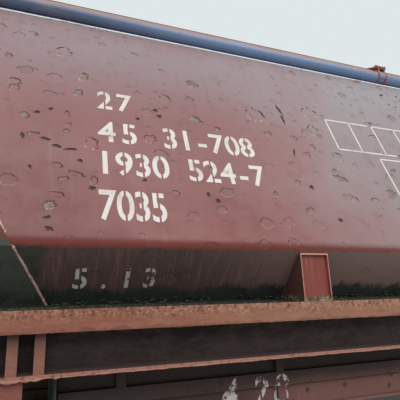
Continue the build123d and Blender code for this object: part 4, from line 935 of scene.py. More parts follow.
hip_paint = hip_finish()
post_paint = end_post_finish()
for sign, end in ENDS:
    beads, bars = [], []
    for side in SIGNS:
        for low, high, radius, low_out, high_out in HIP_BEADS:
            ends = hip_point(low, sign, side, low_out), hip_point(high, sign, side, high_out)
            beads.append(weld_bead(*ends, radius, 0.010, 0.012))
        bar = plate((-0.132, -0.006, -0.049), (0.132, 0.006, 0.049))
        for vertex in bar.data.vertices:
            if vertex.co.z > 0:
                vertex.co.x += sign * (0.056 if vertex.co.x * sign < 0 else -0.060)
        cheek = plate((-0.005, -0.10, -0.14), (0.005, 0.10, 0.14))
        back = plate((-0.040, -0.005, -0.15), (0.040, 0.005, 0.15))
        # columns: piece, its middle along the wagon, across it and up
        for piece, x, out, height in ((bar, 3.967, 1.434, 1.602), (cheek, 3.616, 1.225, 0.852),
                                      (back, 3.600, 1.140, 0.852)):
            piece.data.transform(Matrix.Translation((sign * x, side * out, height)))
            bars.append(piece)
    settle(beads, f"hip_welds_{end}", hip_paint, 60)
    settle(bars, f"gusset_bars_{end}", post_paint)
    dress(post_paint, f"end_posts_{end}")


# End slopes: plates like the sides' own, matt and streaked outside, dusty inside; the saddle floor and
# the ties in the load space are all dust.
def end_slope_finish():
    paint = Finish("end_slope_paint", (118, 58, 50), 0.8)
    runs = paint.noise(4.0, 5, 0.6, stretch=(1, 6, 0.3), shift=(4, 0, 0))
    fine = paint.noise(44, 5, 0.7)
    paint.lay(paint.noise(1.6, 5, 0.6).rise(0.38, 0.64), (96, 54, 46))
    paint.lay(runs.rise(0.50, 0.72, 0.7), (74, 52, 46))
    paint.lay(fine.rise(0.60, 0.72, 0.7), (128, 80, 60))
    paint.lay((abs(paint.x) - (paint.z - BEND_HEIGHT) * END_LEAN).rise(3.8455, 3.8435), dusty(paint))
    paint.bump(runs, 0.004, 0.6)
    paint.bump(fine, 0.0016)
    return paint.done()


dress(end_slope_finish(), "end_slope_front", "end_slope_rear")
load_dust = Finish("load_dust", None, 0.9)
load_dust.bump(load_dust.noise(30, 5, 0.7), 0.002)
load_dust.colour = dusty(load_dust)
dress(load_dust.done(), "saddle_floor", "inner_ties")


# Chord tubes: seamless tube along the top of each wall and across each end, blue-grey underneath as
# painted shade and reflected sky, bluer towards the middle as painted reflection, reddish on the lit top;
# a thin bead where the wall meets it is painted near white as a highlight.
CHORD_OUT, CHORD_HEIGHT, CHORD_RADIUS = 0.600, 3.220, 0.0578
CHORD_END, CHORD_RINGS, END_TUBE = 4.7975, 24, 1.085
GLINT_UP, GLINT_END = 1.763, 4.70
LUGS = (-4.2, -0.84, 0.84, 4.2)


def chord_finish():
    # base tone: the painted shade and reflected sky of the tube's underside
    paint = Finish("chord_paint", (70, 84, 114), 0.42, coat=0.2)
    grain = paint.noise(26, 6, 0.7)
    broad = paint.noise(3.5, 5, 0.6, stretch=(0.5, 1, 1))
    height = paint.z + (broad - 0.5) * 0.05
    # painted reflection bluer towards the middle, the lit top painted reddish, darker again at the very top
    for mask, tone in ((broad.rise(0.4, 0.65), (88, 98, 120)),
                       (abs(paint.x).rise(3.9, 2.4, 0.9), (108, 136, 176)),
                       (height.rise(3.214, 3.244), (142, 118, 114)),
                       (height.rise(3.250, 3.268, 0.85), (88, 80, 74)),
                       (grain.rise(0.58, 0.72, 0.7), (92, 66, 60))):
        paint.lay(mask, tone)
    paint.bump(grain, 0.0015, 0.7)
    return paint.done()


chord_paint = chord_finish()
# a thin bead at the joint of wall and tube, painted near white as a highlight
seam_glint = Finish("seam_glint_run", (222, 224, 226), 0.5)
seam_glint.lay(seam_glint.noise(20, 5, 0.7, stretch=(0.4, 1, 1)).rise(0.50, 0.66, 0.8), (168, 160, 158))
seam_glint = seam_glint.done()
lug_paint = rust_finish("lug_paint", (170, 82, 66), 0.3, 0.1)
dress(chord_paint, "top_chord_left", "top_chord_right", "roof_end_beams")
strap = ((-0.008, 0.058), (-0.007, 0.0655), (0.007, 0.0655), (0.008, 0.058))
for side, side_name in SIDES:
    rings = [(CHORD_END * 2 * step / CHORD_RINGS, CHORD_RADIUS) for step in range(CHORD_RINGS + 1)]
    settle(lathe(rings, (-CHORD_END, side * CHORD_OUT, CHORD_HEIGHT), ALONG, 48), f"chord_tube_{side_name}",
           chord_paint, 35)
    ends = [on_wall(x, GLINT_UP, side, 0.001).translation for x in (-GLINT_END, GLINT_END)]
    settle(weld_bead(*ends, 0.0085, 0.002, 0.05), f"seam_glint_run_{side_name}", seam_glint, 50)
    straps = [lathe(strap, (x + edge, side * CHORD_OUT, CHORD_HEIGHT), ALONG, 40)
              for x in LUGS for edge in (-0.041, 0.041)]
    heads = [placed((x + reach * 0.048, side * 0.625, 3.308), (reach, 0, 0)) for x in LUGS for reach in SIGNS]
    settle([*straps, bolts(0.017, 0.014, heads)], f"lug_straps_{side_name}", lug_paint, 35)
for sign, end in ENDS:
    place = (sign * CHORD_END, -END_TUBE / 2, CHORD_HEIGHT)
    tube = lathe(((0, CHORD_RADIUS), (END_TUBE, CHORD_RADIUS)), place, ACROSS, 48)
    settle(tube, f"end_tube_{end}", chord_paint, 35)


# Lettering: rows of plain digits and two empty frames, sprayed through stencils in white that has
# greyed and worn, at the same places on both sides; smaller worn digits on slope and flaps.
# columns: digits, place of the first, row's foot up the wall, pitch, a digit's height, its width's share
WALL_ROWS = (("27", -3.455, 0.925, 0.122, 0.158, 0.9), ("45", -3.455, 0.655, 0.130, 0.165, 0.9),
             ("31-708", -3.066, 0.655, 0.104, 0.170, 0.9), ("1930 524-7", -3.462, 0.418, 0.104, 0.168, 0.9),
             ("7035", -3.450, 0.125, 0.088, 0.190, 0.72))
FONT_HEIGHT, FONT_STOUTER = 0.73, 0.016
BRIDGED, STENCIL_GAP = "0356892", 0.011
# columns: left edge, foot, right edge, top, uprights between
FRAMES = ((-1.72, 0.83, -0.60, 1.14, (-1.50, -1.27, -1.04, -0.81)), (-1.365, 0.44, -0.55, 0.775, (-0.96,)))
FRAME_LINE, PAINT_LIFT = 0.014, 0.0009
# digits on the flaps: their height, the rib's edge above their foot, and the rib's rise off the sheet
FLAP_DIGIT, RIB_STEP, RIB_RISE = 0.165, 0.0995, 0.025
FLAP_ROW = (("4", -2.700), ("2", -2.505), ("8", -2.375))
FLAP_LEAN = math.radians(8)


def cut(piece, places, axis):
    """Parts a flat piece's faces along lines across an axis and keeps them all."""
    pick(piece, editing=True)
    for place in places:
        bpy.ops.mesh.select_all(action="SELECT")
        bpy.ops.mesh.bisect(plane_co=[place * part for part in axis], plane_no=axis)
    bpy.ops.object.mode_set(mode="OBJECT")


def digit(character, height, width=0.9):
    """One character, cut from the plain font and parted by the stencil's bridge."""
    start()
    bpy.ops.object.text_add()
    bpy.context.object.data.body = character
    bpy.context.object.data.offset = FONT_STOUTER
    bpy.ops.object.convert(target="MESH")
    letter = bpy.context.object
    xs = [vertex.co.x for vertex in letter.data.vertices]
    share = height / FONT_HEIGHT
    middle = Matrix.Translation((-(min(xs) + max(xs)) / 2, 0, 0))
    letter.data.transform(Matrix.Diagonal((share * width, share, 1, 1)) @ middle)
    if character in BRIDGED:
        cut(letter, (-STENCIL_GAP / 2, STENCIL_GAP / 2), ALONG)
        corners = letter.data.vertices
        for part in (*corners, *letter.data.edges):
            part.select = False
        for face in letter.data.polygons:
            reach = max(abs(corners[index].co.x) for index in face.vertices)
            face.select = abs(face.center.x) < STENCIL_GAP * 0.45 and reach < STENCIL_GAP * 0.6
        bpy.ops.object.mode_set(mode="EDIT")
        bpy.ops.mesh.select_mode(type="FACE")
        bpy.ops.mesh.delete(type="FACE")
        bpy.ops.mesh.select_mode(type="VERT")
        bpy.ops.object.mode_set(mode="OBJECT")
    return letter


def stencil_finish(name, worn, under):
    paint = Finish(name, (206, 202, 196), 0.5)
    broad = paint.noise(7, 4, 0.6, shift=(1, 4, 0))
    gone = (paint.noise(30, 6, 0.7) + broad * 0.4).rise(0.86 - worn, 0.94 - worn)
    paint.lay(broad.rise(0.45, 0.7, 0.6), (178, 166, 160))
    paint.lay(gone, under)
    paint.bump(gone, -0.001, 0.6)
    return paint.done()


def frame_line(x0, x1, up0, up1, side):
    """One straight sprayed line of a frame."""
    line = made(bpy.ops.mesh.primitive_plane_add, size=1)
    size = Matrix.Diagonal((abs(x1 - x0) + FRAME_LINE, abs(up1 - up0) + FRAME_LINE, 1, 1))
    line.data.transform(on_wall((x0 + x1) / 2 * -side, (up0 + up1) / 2, side, PAINT_LIFT) @ size)
    return line


stencil_white = stencil_finish("stencil_white", 0.02, (140, 84, 78))
stencil_faint = stencil_finish("stencil_faint", 0.13, (66, 48, 46))
stencil_gone = stencil_finish("stencil_gone", 0.20, (72, 50, 47))
for side, side_name in SIDES:
    lines, faint, gone = [], [], []
    for row, first, foot, pitch, height, width in WALL_ROWS:
        for index, character in enumerate(row):
            if character != " ":
                lines.append(digit(character, height, width))
                x = (first + pitch * (index + 0.42)) * -side
                lines[-1].data.transform(on_wall(x, foot, side, PAINT_LIFT))
    for x0, foot, x1, top, uprights in FRAMES:
        lines += [frame_line(x0, x1, up, up, side) for up in (foot, top)]
        lines += [frame_line(x, x, foot, top, side) for x in (x0, *uprights, x1)]
    settle(lines, f"wall_digits_{side_name}", stencil_white)
    for index, character in enumerate("5.13"):
        faint.append(digit(character, 0.125))
        faint[-1].data.transform(on_slope((-3.53 + index * 0.115) * -side, 1.362, side, 0.001))
    settle(faint, f"slope_digits_{side_name}", stencil_faint)
    for character, x in FLAP_ROW:
        gone.append(digit(character, FLAP_DIGIT))
        cut(gone[-1], (RIB_STEP - 0.0005, RIB_STEP), ACROSS)
        for vertex in gone[-1].data.vertices:
            if vertex.co.y < RIB_STEP - 0.0002:
                vertex.co.z -= RIB_RISE
        gone[-1].data.transform(facing(x * -side, 1.2765, 0.700, FLAP_LEAN, side))
    flap_end = "rear" if side < 0 else "front"
    settle(gone, f"flap_digits_{side_name}", stencil_gone, body=f"flap_{flap_end}_{side_name}_body")


# Discharge flaps: ribbed plates on pins, painted darkest near the hinge as shade under the sole bar and
# lighter low in the middle as painted light, darker towards the ends, with blobs of lifted rust; they hang
# shut on the saddle's lip.
HINGES = (0.330, 1.250, 2.380, 3.300)
HINGE_OUT, HINGE_HEIGHT = 1.215, 1.165
RIB_EDGES = (0.7985, 0.8715, 1.0515)


def flap_finish():
    paint = Finish("flap_paint", (84, 54, 48), 0.72)
    broad = paint.noise(1.8, 5, 0.6)
    middle = paint.noise(12, 6, 0.7)
    runs = paint.noise(8, 5, 0.6, stretch=(5, 1, 0.3))
    blob = (paint.cells(9, (1, 0.2, 1), (4, 0, 2)) + paint.noise(30, 5, 0.65) * 0.3).rise(0.30, 0.26)
    # painted light on the low middle of the flap; painted shade near the hinge under the sole bar, and the
    # same mask darkens the ends
    pale = (paint.z + middle * 0.08).rise(0.90, 0.80) * abs(paint.x).rise(2.75, 2.2) * 0.6
    shade = (paint.z + broad * 0.10).rise(0.80, 0.96, 0.85).larger(abs(paint.x).rise(2.45, 2.85, 0.7))
    for mask, tone in ((broad.rise(0.36, 0.64), (66, 45, 42)), (middle.rise(0.56, 0.70, 0.6), (112, 74, 62)),
                       (runs.rise(0.55, 0.75, 0.5), (136, 92, 84)), (blob * 0.9, (50, 36, 33)),
                       (pale, (146, 100, 92)), (shade, (38, 32, 30)), (blob * 0.7, (50, 40, 37))):
        paint.lay(mask, tone)
    paint.bump(middle, 0.004, 0.7)
    paint.bump(blob, 0.004)
    return paint.done()


def on_flap(x, height, side):
    """Point on the outer face of a closed flap's sheet."""
    out = 1.238 - (height - 0.73) * math.tan(FLAP_LEAN) + 0.0085 / math.cos(FLAP_LEAN)
    return Vector((x, side * out, height))


flap_paint = flap_finish()
for side, side_name in SIDES:
    placings = []
    for sign, end in ENDS:
        dress(flap_paint, f"flap_{end}_{side_name}")
        beads = []
        for height in RIB_EDGES:
            ends = on_flap(sign * 0.035, height, side), on_flap(sign * 3.595, height, side)
            beads.append(weld_bead(*ends, 0.0035, 0.002, 0.05))
        settle(beads, f"flap_welds_{end}_{side_name}", flap_paint, 35, f"flap_{end}_{side_name}_body")
        placings += [placed((sign * x + reach * 0.046, side * HINGE_OUT, HINGE_HEIGHT), (reach, 0, 0))
                     for x in HINGES for reach in SIGNS]
    settle(bolts(0.016, 0.012, placings), f"flap_pin_nuts_{side_name}", bolt_paint, 35)


# Roof lids: arched sheets, stiffened by pressed ribs across, a rolled edge all round and a strap over
# each hinge arm; red paint faded by the sun, dusty and rusted along the ribs.
LID_INNER, LID_OUTER = 0.006, 0.545
LID_FOOT, LID_RIDGE, LID_CROWN = 3.330, 3.415, 0.024
LID_FIRST, LID_LAST = 0.006, 4.845
LID_ARMS = (0.84, 4.20)
LID_RIBS, LID_RIB_PITCH = 12, 0.382


def lid_top(out):
    """Height of a closed lid's sheet at a distance from the wagon's middle."""
    share = (out - LID_INNER) / (LID_OUTER - LID_INNER)
    return LID_RIDGE + (LID_FOOT - LID_RIDGE) * share + LID_CROWN * 4 * share * (1 - share) * 0.985


def lid_rib(width, rise, from_out, to_out, side):
    """Strip lying over the arch, raised in its middle and closed down to the sheet at its edges."""
    strip = made(bpy.ops.mesh.primitive_grid_add, x_subdivisions=6, y_subdivisions=20, size=1)
    for vertex in strip.data.vertices:
        u, v = vertex.co.x, vertex.co.y + 0.5
        out = from_out + (to_out - from_out) * v
        lift = rise * min(1.0, 2.2 * (1 - abs(2 * u))) * min(1.0, 6 * v, 6 * (1 - v)) + 0.0002
        vertex.co = (u * width, side * out, min(lid_top(out) + lift, LID_RIDGE - 0.0002))
    outward(strip)
    if strip.data.polygons[60].normal.z < 0:
        strip.data.flip_normals()
    return strip


def eased(points, reach, steps=6):
    """Points of a bent bar, its corners rounded off over a reach."""
    points = [Vector(point) for point in points]
    line = [points[0]]
    for before, corner, after in zip(points, points[1:], points[2:]):
        first = corner + (before - corner).normalized() * reach
        last = corner + (after - corner).normalized() * reach
        for share in (step / steps for step in range(steps + 1)):
            line.append(first * (1 - share) ** 2 + corner * 2 * share * (1 - share) + last * share ** 2)
    return line + [points[-1]]


def rod(points, radius, rings=4):
    """Round bar along a row of points, its ends closed."""
    path = bpy.data.curves.new("rod", "CURVE")
    path.dimensions = "3D"
    line = path.splines.new("POLY")
    line.points.add(len(points) - 1)
    for point, place in zip(line.points, points):
        point.co = (*place, 1)
    path.bevel_depth = radius
    path.bevel_resolution = rings
    path.use_fill_caps = True
    pick(shown("rod", path))
    bpy.ops.object.convert(target="MESH")
    piece = pick(bpy.context.object, editing=True)
    bpy.ops.mesh.remove_doubles(threshold=0.00005)
    return outward(piece)


lid_paint = rust_finish("lid_paint", (128, 74, 66), 0.45, 0.3, 0.35)
rib_paint = rust_finish("lid_rib_paint", (142, 78, 66), 0.8, 0.3, 0.2)
seal_rubber = flat_finish("seal_rubber", (30, 29, 29), (46, 43, 41), 0.7, 30)
grip_foot, grip_top = (0.33, lid_top(0.33) - 0.004), (0.36, LID_RIDGE - 0.008)
for sign, end in ENDS:
    for side, side_name in SIDES:
        dress(lid_paint, f"roof_lid_{end}_{side_name}")
        body = f"lid_{end}_{side_name}_body"
        ribs = copies(lid_rib(0.060, 0.012, 0.030, 0.525, side),
                      [Matrix.Translation((sign * (0.32 + LID_RIB_PITCH * step), 0, 0))
                       for step in range(LID_RIBS)])
        straps = copies(lid_rib(0.080, 0.005, 0.380, 0.540, side),
                        [Matrix.Translation((sign * x, 0, 0)) for x in LID_ARMS])
        spots = [Matrix.Translation((sign * x + edge, side * out, lid_top(out) + 0.004))
                 for x in LID_ARMS for edge in (-0.022, 0.022) for out in (0.43, 0.50)]
        pieces = [ribs, straps, bolts(0.008, 0.006, spots)]
        pieces.append(rod([(sign * x, side * (LID_OUTER - 0.007), LID_FOOT - 0.012)
                           for x in (LID_FIRST + 0.004, LID_LAST - 0.004)], 0.0065))
        for x in (LID_FIRST + 0.012, LID_LAST - 0.008):
            outs = [0.014 + 0.523 * step / 16 for step in range(17)]
            pieces.append(rod([(sign * x, side * out, lid_top(out) - 0.0065) for out in outs], 0.0062))
        for x in (1.65, 3.18):
            grip = [(sign * x + reach, side * out, height) for reach, (out, height) in (
                (-0.07, grip_foot), (-0.07, grip_top), (0.07, grip_top), (0.07, grip_foot))]
            pieces.append(rod(eased(grip, 0.008), 0.0055, 2))
        settle(pieces, f"lid_ribs_{end}_{side_name}", rib_paint, 35, body)
        seal = rod([(sign * x, side * 0.0125, LID_RIDGE - 0.0068) for x in (0.012, 4.84)], 0.0055, 2)
        settle(seal, f"lid_seal_{end}_{side_name}", seal_rubber, 50, body)


# Buffers: cast housings bolted to the headstocks, turned plungers with dished heads, greased and
# worn bright where the heads of two wagons rub on each other.
HEADSTOCK_FACE = 5.650
BUFFER_OUT, BUFFER_HEIGHT = 0.875, 1.090
PLATE_HALF, PLATE_FLAT, PLATE_THICK, PLATE_BOLT = 0.160, 0.120, 0.016, 0.118
CASE_STEPS = ((0.0160, 0.134), (0.0240, 0.134), (0.0310, 0.128), (0.0600, 0.112), (0.2920, 0.107),
              (0.2980, 0.114), (0.3340, 0.114), (0.3400, 0.110), (0.3400, 0.093), (0.3200, 0.092))
HEAD_STEPS = ((0.3200, 0.088), (0.5600, 0.088), (0.5680, 0.096), (0.5760, 0.118), (0.5960, 0.214),
              (0.6020, 0.2235), (0.6080, 0.225), (0.6135, 0.221), (0.6170, 0.200), (0.6195, 0.150),
              (0.6200, 0.110))


def pressed(outline, depth):
    """A closed flat outline, drawn out by a vector."""
    piece = made(bpy.ops.mesh.primitive_circle_add, vertices=len(outline), fill_type="NGON")
    for vertex, corner in zip(piece.data.vertices, outline):
        vertex.co = corner
    pick(piece, editing=True)
    bpy.ops.mesh.extrude_region_move(TRANSFORM_OT_translate={"value": depth})
    return outward(piece)


def buffer_finish():
    paint = Finish("buffer_steel", (84, 64, 54), 0.55, 0.35)
    rough = paint.noise(16, 6, 0.7)
    fine = paint.noise(60, 5, 0.7)
    out, up = abs(paint.y) - BUFFER_OUT, paint.z - BUFFER_HEIGHT
    ring = (out * out + up * up).root() + (rough - 0.5) * 0.06
    rubbed = paint.mix((132, 126, 118), rough.rise(0.46, 0.60), (92, 84, 76))
    rubbed = paint.mix(rubbed, ring.rise(0.115, 0.135), (34, 30, 28))
    rubbed = paint.mix(rubbed, ring.rise(0.175, 0.205), (98, 68, 54))
    paint.lay(rough.rise(0.44, 0.62), (62, 50, 45))
    paint.lay(fine.rise(0.58, 0.70, 0.7), (112, 74, 54))
    paint.lay(abs(paint.x).rise(HEADSTOCK_FACE + 0.611, HEADSTOCK_FACE + 0.614), rubbed)
    paint.bump(rough, 0.002, 0.6)
    paint.bump(fine, 0.0008)
    return paint.done(rough.rise(0.3, 0.7, 0.65, 0.40))


buffer_paint = buffer_finish()
quarter = [(PLATE_HALF, PLATE_FLAT), (PLATE_FLAT, PLATE_HALF)]
plate_outline = quarter + [(-x, y) for x, y in reversed(quarter)]
plate_outline = [(x, y, 0) for x, y in plate_outline + [(-x, -y) for x, y in plate_outline]]
for sign, end in ENDS:
    cases, heads = [], []
    for side in SIGNS:
        foot = Vector((sign * (HEADSTOCK_FACE + 0.0003), side * BUFFER_OUT, BUFFER_HEIGHT))
        sheet = modify(pressed(plate_outline, (0, 0, PLATE_THICK)), "BEVEL", width=0.002, segments=2)
        sheet.data.transform(placed(foot, (sign, 0, 0)))
        corners = [placed(foot + Vector((sign * PLATE_THICK, y * PLATE_BOLT, z * PLATE_BOLT)), (sign, 0, 0))
                   for y in SIGNS for z in SIGNS]
        cases += [sheet, lathe(CASE_STEPS, foot, (sign, 0, 0), 56), bolts(0.017, 0.014, corners)]
        heads.append(lathe(HEAD_STEPS, foot, (sign, 0, 0), 72))
        for degrees in (45, 135, 225, 315):
            rib = plate((0.016, -0.006, 0.100), (0.150, 0.006, 0.124))
            for vertex in rib.data.vertices:
                if vertex.co.x > 0.08:
                    vertex.co.z = 0.104 + (vertex.co.z - 0.104) * 0.25
            outward_turn = turn(0 if sign > 0 else 180, "Z")
            rib.data.transform(Matrix.Translation(foot) @ outward_turn @ turn(degrees, "X"))
            cases.append(rib)
    for pieces, kind, angle in ((cases, "cases", 35), (heads, "heads", 28)):
        settle(pieces, f"turned_buffer_{kind}_{end}", buffer_paint, angle, instead_of=f"buffer_{kind}_{end}")


# Draw gear: forged hook through a guide in the headstock, and the screw coupling hanging from it: two
# links, two trunnions, a threaded screw with its lever, and the bow.
HOOK_OUTLINE = ((-0.060, -0.030), (0.162, -0.036), (0.227, -0.020), (0.262, 0.025), (0.247, 0.085),
                (0.212, 0.092), (0.207, 0.050), (0.182, 0.028), (0.142, 0.030), (-0.060, 0.030))
COUPLING_X = HEADSTOCK_FACE + 0.102
LINK_TOP, SCREW_TOP, SCREW_FOOT, BOW_FOOT = 1.086, 0.896, 0.666, 0.446
# columns: height, radius, half length
TRUNNIONS = ((LINK_TOP, 0.016, 0.070), (SCREW_TOP, 0.026, 0.030), (SCREW_TOP, 0.016, 0.068),
             (SCREW_FOOT, 0.026, 0.036), (SCREW_FOOT, 0.017, 0.070))
KNOB = ((-0.022, 0.012), (-0.015, 0.021), (0, 0.025), (0.015, 0.021), (0.022, 0.012))
# columns: across the wagon from and to, height from and to
GUIDE_PLATES = ((-0.095, -0.026, -0.075, 0.075), (0.026, 0.095, -0.075, 0.075),
                (-0.026, 0.026, -0.075, -0.041), (-0.026, 0.026, 0.036, 0.075))


def forged(outline, thick, edge):
    """Flat forging: an outline in x and z, its corners cut off twice over, with rounded edges."""
    for _ in range(2):
        points = [Vector(point) for point in outline]
        outline = [near * share + far * (1 - share) for near, far in zip(points, [*points[1:], points[0]])
                   for share in (0.75, 0.25)]
    piece = pressed([(x, -thick / 2, z) for x, z in outline], (0, thick, 0))
    return modify(piece, "BEVEL", width=edge, segments=3, limit_method="ANGLE", angle_limit=math.radians(50))


for sign, end in ENDS:
    x = sign * COUPLING_X
    hook = [(sign * (HEADSTOCK_FACE + out), BUFFER_HEIGHT + up) for out, up in HOOK_OUTLINE]
    pieces = [forged(hook, 0.050, 0.008)]
    link = [(x - 0.022, SCREW_TOP - 0.030), (x + 0.022, SCREW_TOP - 0.030), (x + 0.022, LINK_TOP + 0.030),
            (x - 0.022, LINK_TOP + 0.030)]
    for side in SIGNS:
        pieces.append(forged(link, 0.022, 0.005))
        pieces[-1].data.transform(Matrix.Translation((0, side * 0.046, 0)))
    for height, radius, reach in TRUNNIONS:
        trunnion = [(-reach, radius * 0.86), (0.003 - reach, radius)]
        trunnion += [(-along, wide) for along, wide in reversed(trunnion)]
        pieces.append(lathe(trunnion, (x, 0, height), ACROSS, 24))
    thread = coil(0.0165, 0.0028, SCREW_TOP - SCREW_FOOT - 0.05, 15, 1)
    thread.data.transform(Matrix.Translation((x, 0, SCREW_FOOT + 0.025)))
    bow = [(x, -0.058, SCREW_FOOT), (x, -0.058, BOW_FOOT), (x, 0.058, BOW_FOOT), (x, 0.058, SCREW_FOOT)]
    grip = (SCREW_TOP + SCREW_FOOT) / 2
    screw = ((0, 0.0165), (SCREW_TOP - SCREW_FOOT + 0.04, 0.0165))
    pieces += [thread, rod(eased(bow, 0.05), 0.0155, 5),
               lathe(screw, (x, 0, SCREW_FOOT - 0.02), UP, 20),
               lathe(((-0.03, 0.027), (0.03, 0.027)), (x, 0, grip), UP, 20),
               rod([(x, 0.020, grip), (x, 0.165, grip - 0.105)], 0.008, 3),
               lathe(KNOB, (x, 0.170, grip - 0.109), (0, 0.8, -0.6), 20)]
    face = sign * (HEADSTOCK_FACE + 0.0065)
    for y0, y1, z0, z1 in GUIDE_PLATES:
        corners = (face - 0.006, y0, BUFFER_HEIGHT + z0), (face + 0.006, y1, BUFFER_HEIGHT + z1)
        pieces.append(plate(*corners, 0.0015))
    pieces.append(bolts(0.012, 0.010, [placed((face + sign * 0.006, y, BUFFER_HEIGHT + z), (sign, 0, 0))
                                       for y in (-0.072, 0.072) for z in (-0.052, 0.052)]))
    settle(pieces, f"forged_draw_gear_{end}", steel_paint, 40, instead_of=f"draw_gear_{end}")


# Headstocks and platforms: rows of bolts and lamp brackets on the headstocks, and a tread of raised
# lozenges over the decks, worn and filled with dirt.
DECK_TOP = 1.2883
BRACKET_OUT, SEAM_HEIGHT = 1.32, 1.357
TREAD_FIRST, TREAD_LAST, TREAD_EDGE = 3.86, 5.578, 1.19
TREAD_PITCH, TREAD_ALONG, TREAD_ACROSS = 0.044, 40, 54
headstock_paint = rust_finish("headstock_paint", (118, 60, 50), 0.5, 0.4, 0.2)
tread_paint = rust_finish("tread_plate", (112, 66, 54), 0.7, 0.6, 0.4)
for sign, end in ENDS:
    face = sign * HEADSTOCK_FACE
    trim = [bolts(0.012, 0.010, [placed((face, side * y, z), (sign, 0, 0)) for side in SIGNS
                                 for y in (0.20, 0.34, 0.48, 0.62, 1.12, 1.26, 1.40)
                                 for z in (0.975, 1.245)])]
    for side in SIGNS:
        # columns: distance from the headstock and height, from and to
        for near, far, foot, top in ((0, 0.050, 1.150, 1.158), (0.042, 0.050, 1.158, 1.225)):
            x0, x1 = sorted((face + sign * near, face + sign * far))
            out = side * BRACKET_OUT
            trim.append(plate((x0, out - 0.030, foot), (x1, out + 0.030, top)))
        seam = [(face - sign * 0.001, side * out, SEAM_HEIGHT) for out in (1.20, 0)]
        trim.append(weld_bead(*seam, 0.003, 0.002, 0.04))
    settle(trim, f"headstock_trim_{end}", headstock_paint, 35)
    dress(headstock_paint, f"headstock_{end}")
    lozenges = []
    for degrees, shift in ((45, 0.0), (-45, 0.022)):
        lozenge = made(bpy.ops.mesh.primitive_cylinder_add, vertices=4, radius=0.014, depth=0.0022)
        first = TREAD_FIRST + shift if sign > 0 else -TREAD_LAST - shift
        place = Matrix.Translation((first, shift - TREAD_EDGE, DECK_TOP + 0.0007))
        lozenge.data.transform(place @ turn(degrees, "Z") @ Matrix.Diagonal((1, 0.36, 1, 1)))
        for count, pitch in ((TREAD_ALONG, (TREAD_PITCH, 0, 0)), (TREAD_ACROSS, (0, TREAD_PITCH, 0))):
            modify(lozenge, "ARRAY", count=count, use_relative_offset=False, use_constant_offset=True,
                   constant_offset_displace=pitch)
        lozenges.append(lozenge)
    settle(lozenges, f"deck_tread_{end}", tread_paint)
    dress(tread_paint, f"end_platform_{end}")


# Railings and ladders: bent tube on round feet, flat stiles with round rungs; an older coat of ochre
# shows through the red-brown, and the hand rails are worn smooth.
RAILING_X, RAILING_TOP, RAILING_MIDDLE, RAILING_OUT = 5.605, 2.2886, 1.7886, 1.180
LADDER_X, LADDER_TOP, LADDER_STAY = 4.9365, 3.260, 4.8555
RUNGS, RUNG_PITCH = 6, 0.3033
DECK_FACE = DECK_TOP + 0.0003
POST_FOOT = ((0, 0.034), (0.006, 0.034), (0.0075, 0.031), (0.008, 0.021), (0.020, 0.018))
POST_CLAMP = ((-0.012, 0.0165), (-0.009, 0.020), (0.009, 0.020), (0.012, 0.0165))


def rail_finish():
    paint = Finish("rail_paint", (132, 72, 58), 0.62)
    patches = paint.noise(7, 5, 0.65)
    fine = paint.noise(70, 5, 0.7)
    paint.lay(patches.rise(0.50, 0.56, 0.9), (164, 124, 62))
    paint.lay(patches.rise(0.44, 0.38, 0.8), (92, 60, 48))
    paint.lay(fine.rise(0.56, 0.68, 0.8), (84, 56, 44))
    paint.bump(fine, 0.0008)
    return paint.done()


rail_paint = rail_finish()
for sign, end in ENDS:
    x = sign * RAILING_X
    hoop = [(x, -RAILING_OUT, DECK_FACE), (x, -RAILING_OUT, RAILING_TOP), (x, RAILING_OUT, RAILING_TOP),
            (x, RAILING_OUT, DECK_FACE)]
    tubes = [rod(eased(hoop, 0.11, 8), 0.0165, 5),
             rod([(x, -RAILING_OUT, RAILING_MIDDLE), (x, RAILING_OUT, RAILING_MIDDLE)], 0.0102)]
    for y in (-RAILING_OUT, -RAILING_OUT / 3, RAILING_OUT / 3, RAILING_OUT):
        if abs(y) < RAILING_OUT:
            tubes.append(rod([(x, y, DECK_FACE), (x, y, RAILING_TOP)], 0.0136))
        spots = [Matrix.Translation((x + dx, y + dy, DECK_FACE + 0.006))
                 for dx, dy in ((-0.026, 0), (0.026, 0), (0, 0.026), (0, -0.026))]
        tubes += [lathe(POST_FOOT, (x, y, DECK_FACE), UP, 28),
                  lathe(POST_CLAMP, (x, y, RAILING_MIDDLE), UP, 20),
                  bolts(0.006, 0.005, spots)]
    settle(tubes, f"tube_railing_{end}", rail_paint, 40, instead_of=f"railing_{end}")
    x = sign * LADDER_X
    near, far = sorted((sign * LADDER_STAY, x))
    steps = []
    for y in (0.060, 0.420):
        nuts = [placed((x, y + reach * 0.006, 3.220), (0, reach, 0)) for reach in SIGNS]
        steps += [plate((x - 0.020, y - 0.006, DECK_FACE), (x + 0.020, y + 0.006, LADDER_TOP), 0.0015),
                  plate((near, y - 0.006, 3.200), (far, y + 0.006, 3.240), 0.0015), bolts(0.010, 0.008, nuts)]
    for height in (DECK_FACE + index * RUNG_PITCH for index in range(1, RUNGS + 1)):
        steps.append(lathe(((0, 0.011), (0.372, 0.011)), (x, 0.054, height), ACROSS, 20))
        steps += [lathe(((0, 0.016), (0.005, 0.0125)), (x, y, height), (0, reach, 0), 16)
                  for y, reach in ((0.066, 1), (0.414, -1))]
    settle(steps, f"rung_ladder_{end}", rail_paint, 40, instead_of=f"ladder_{end}")


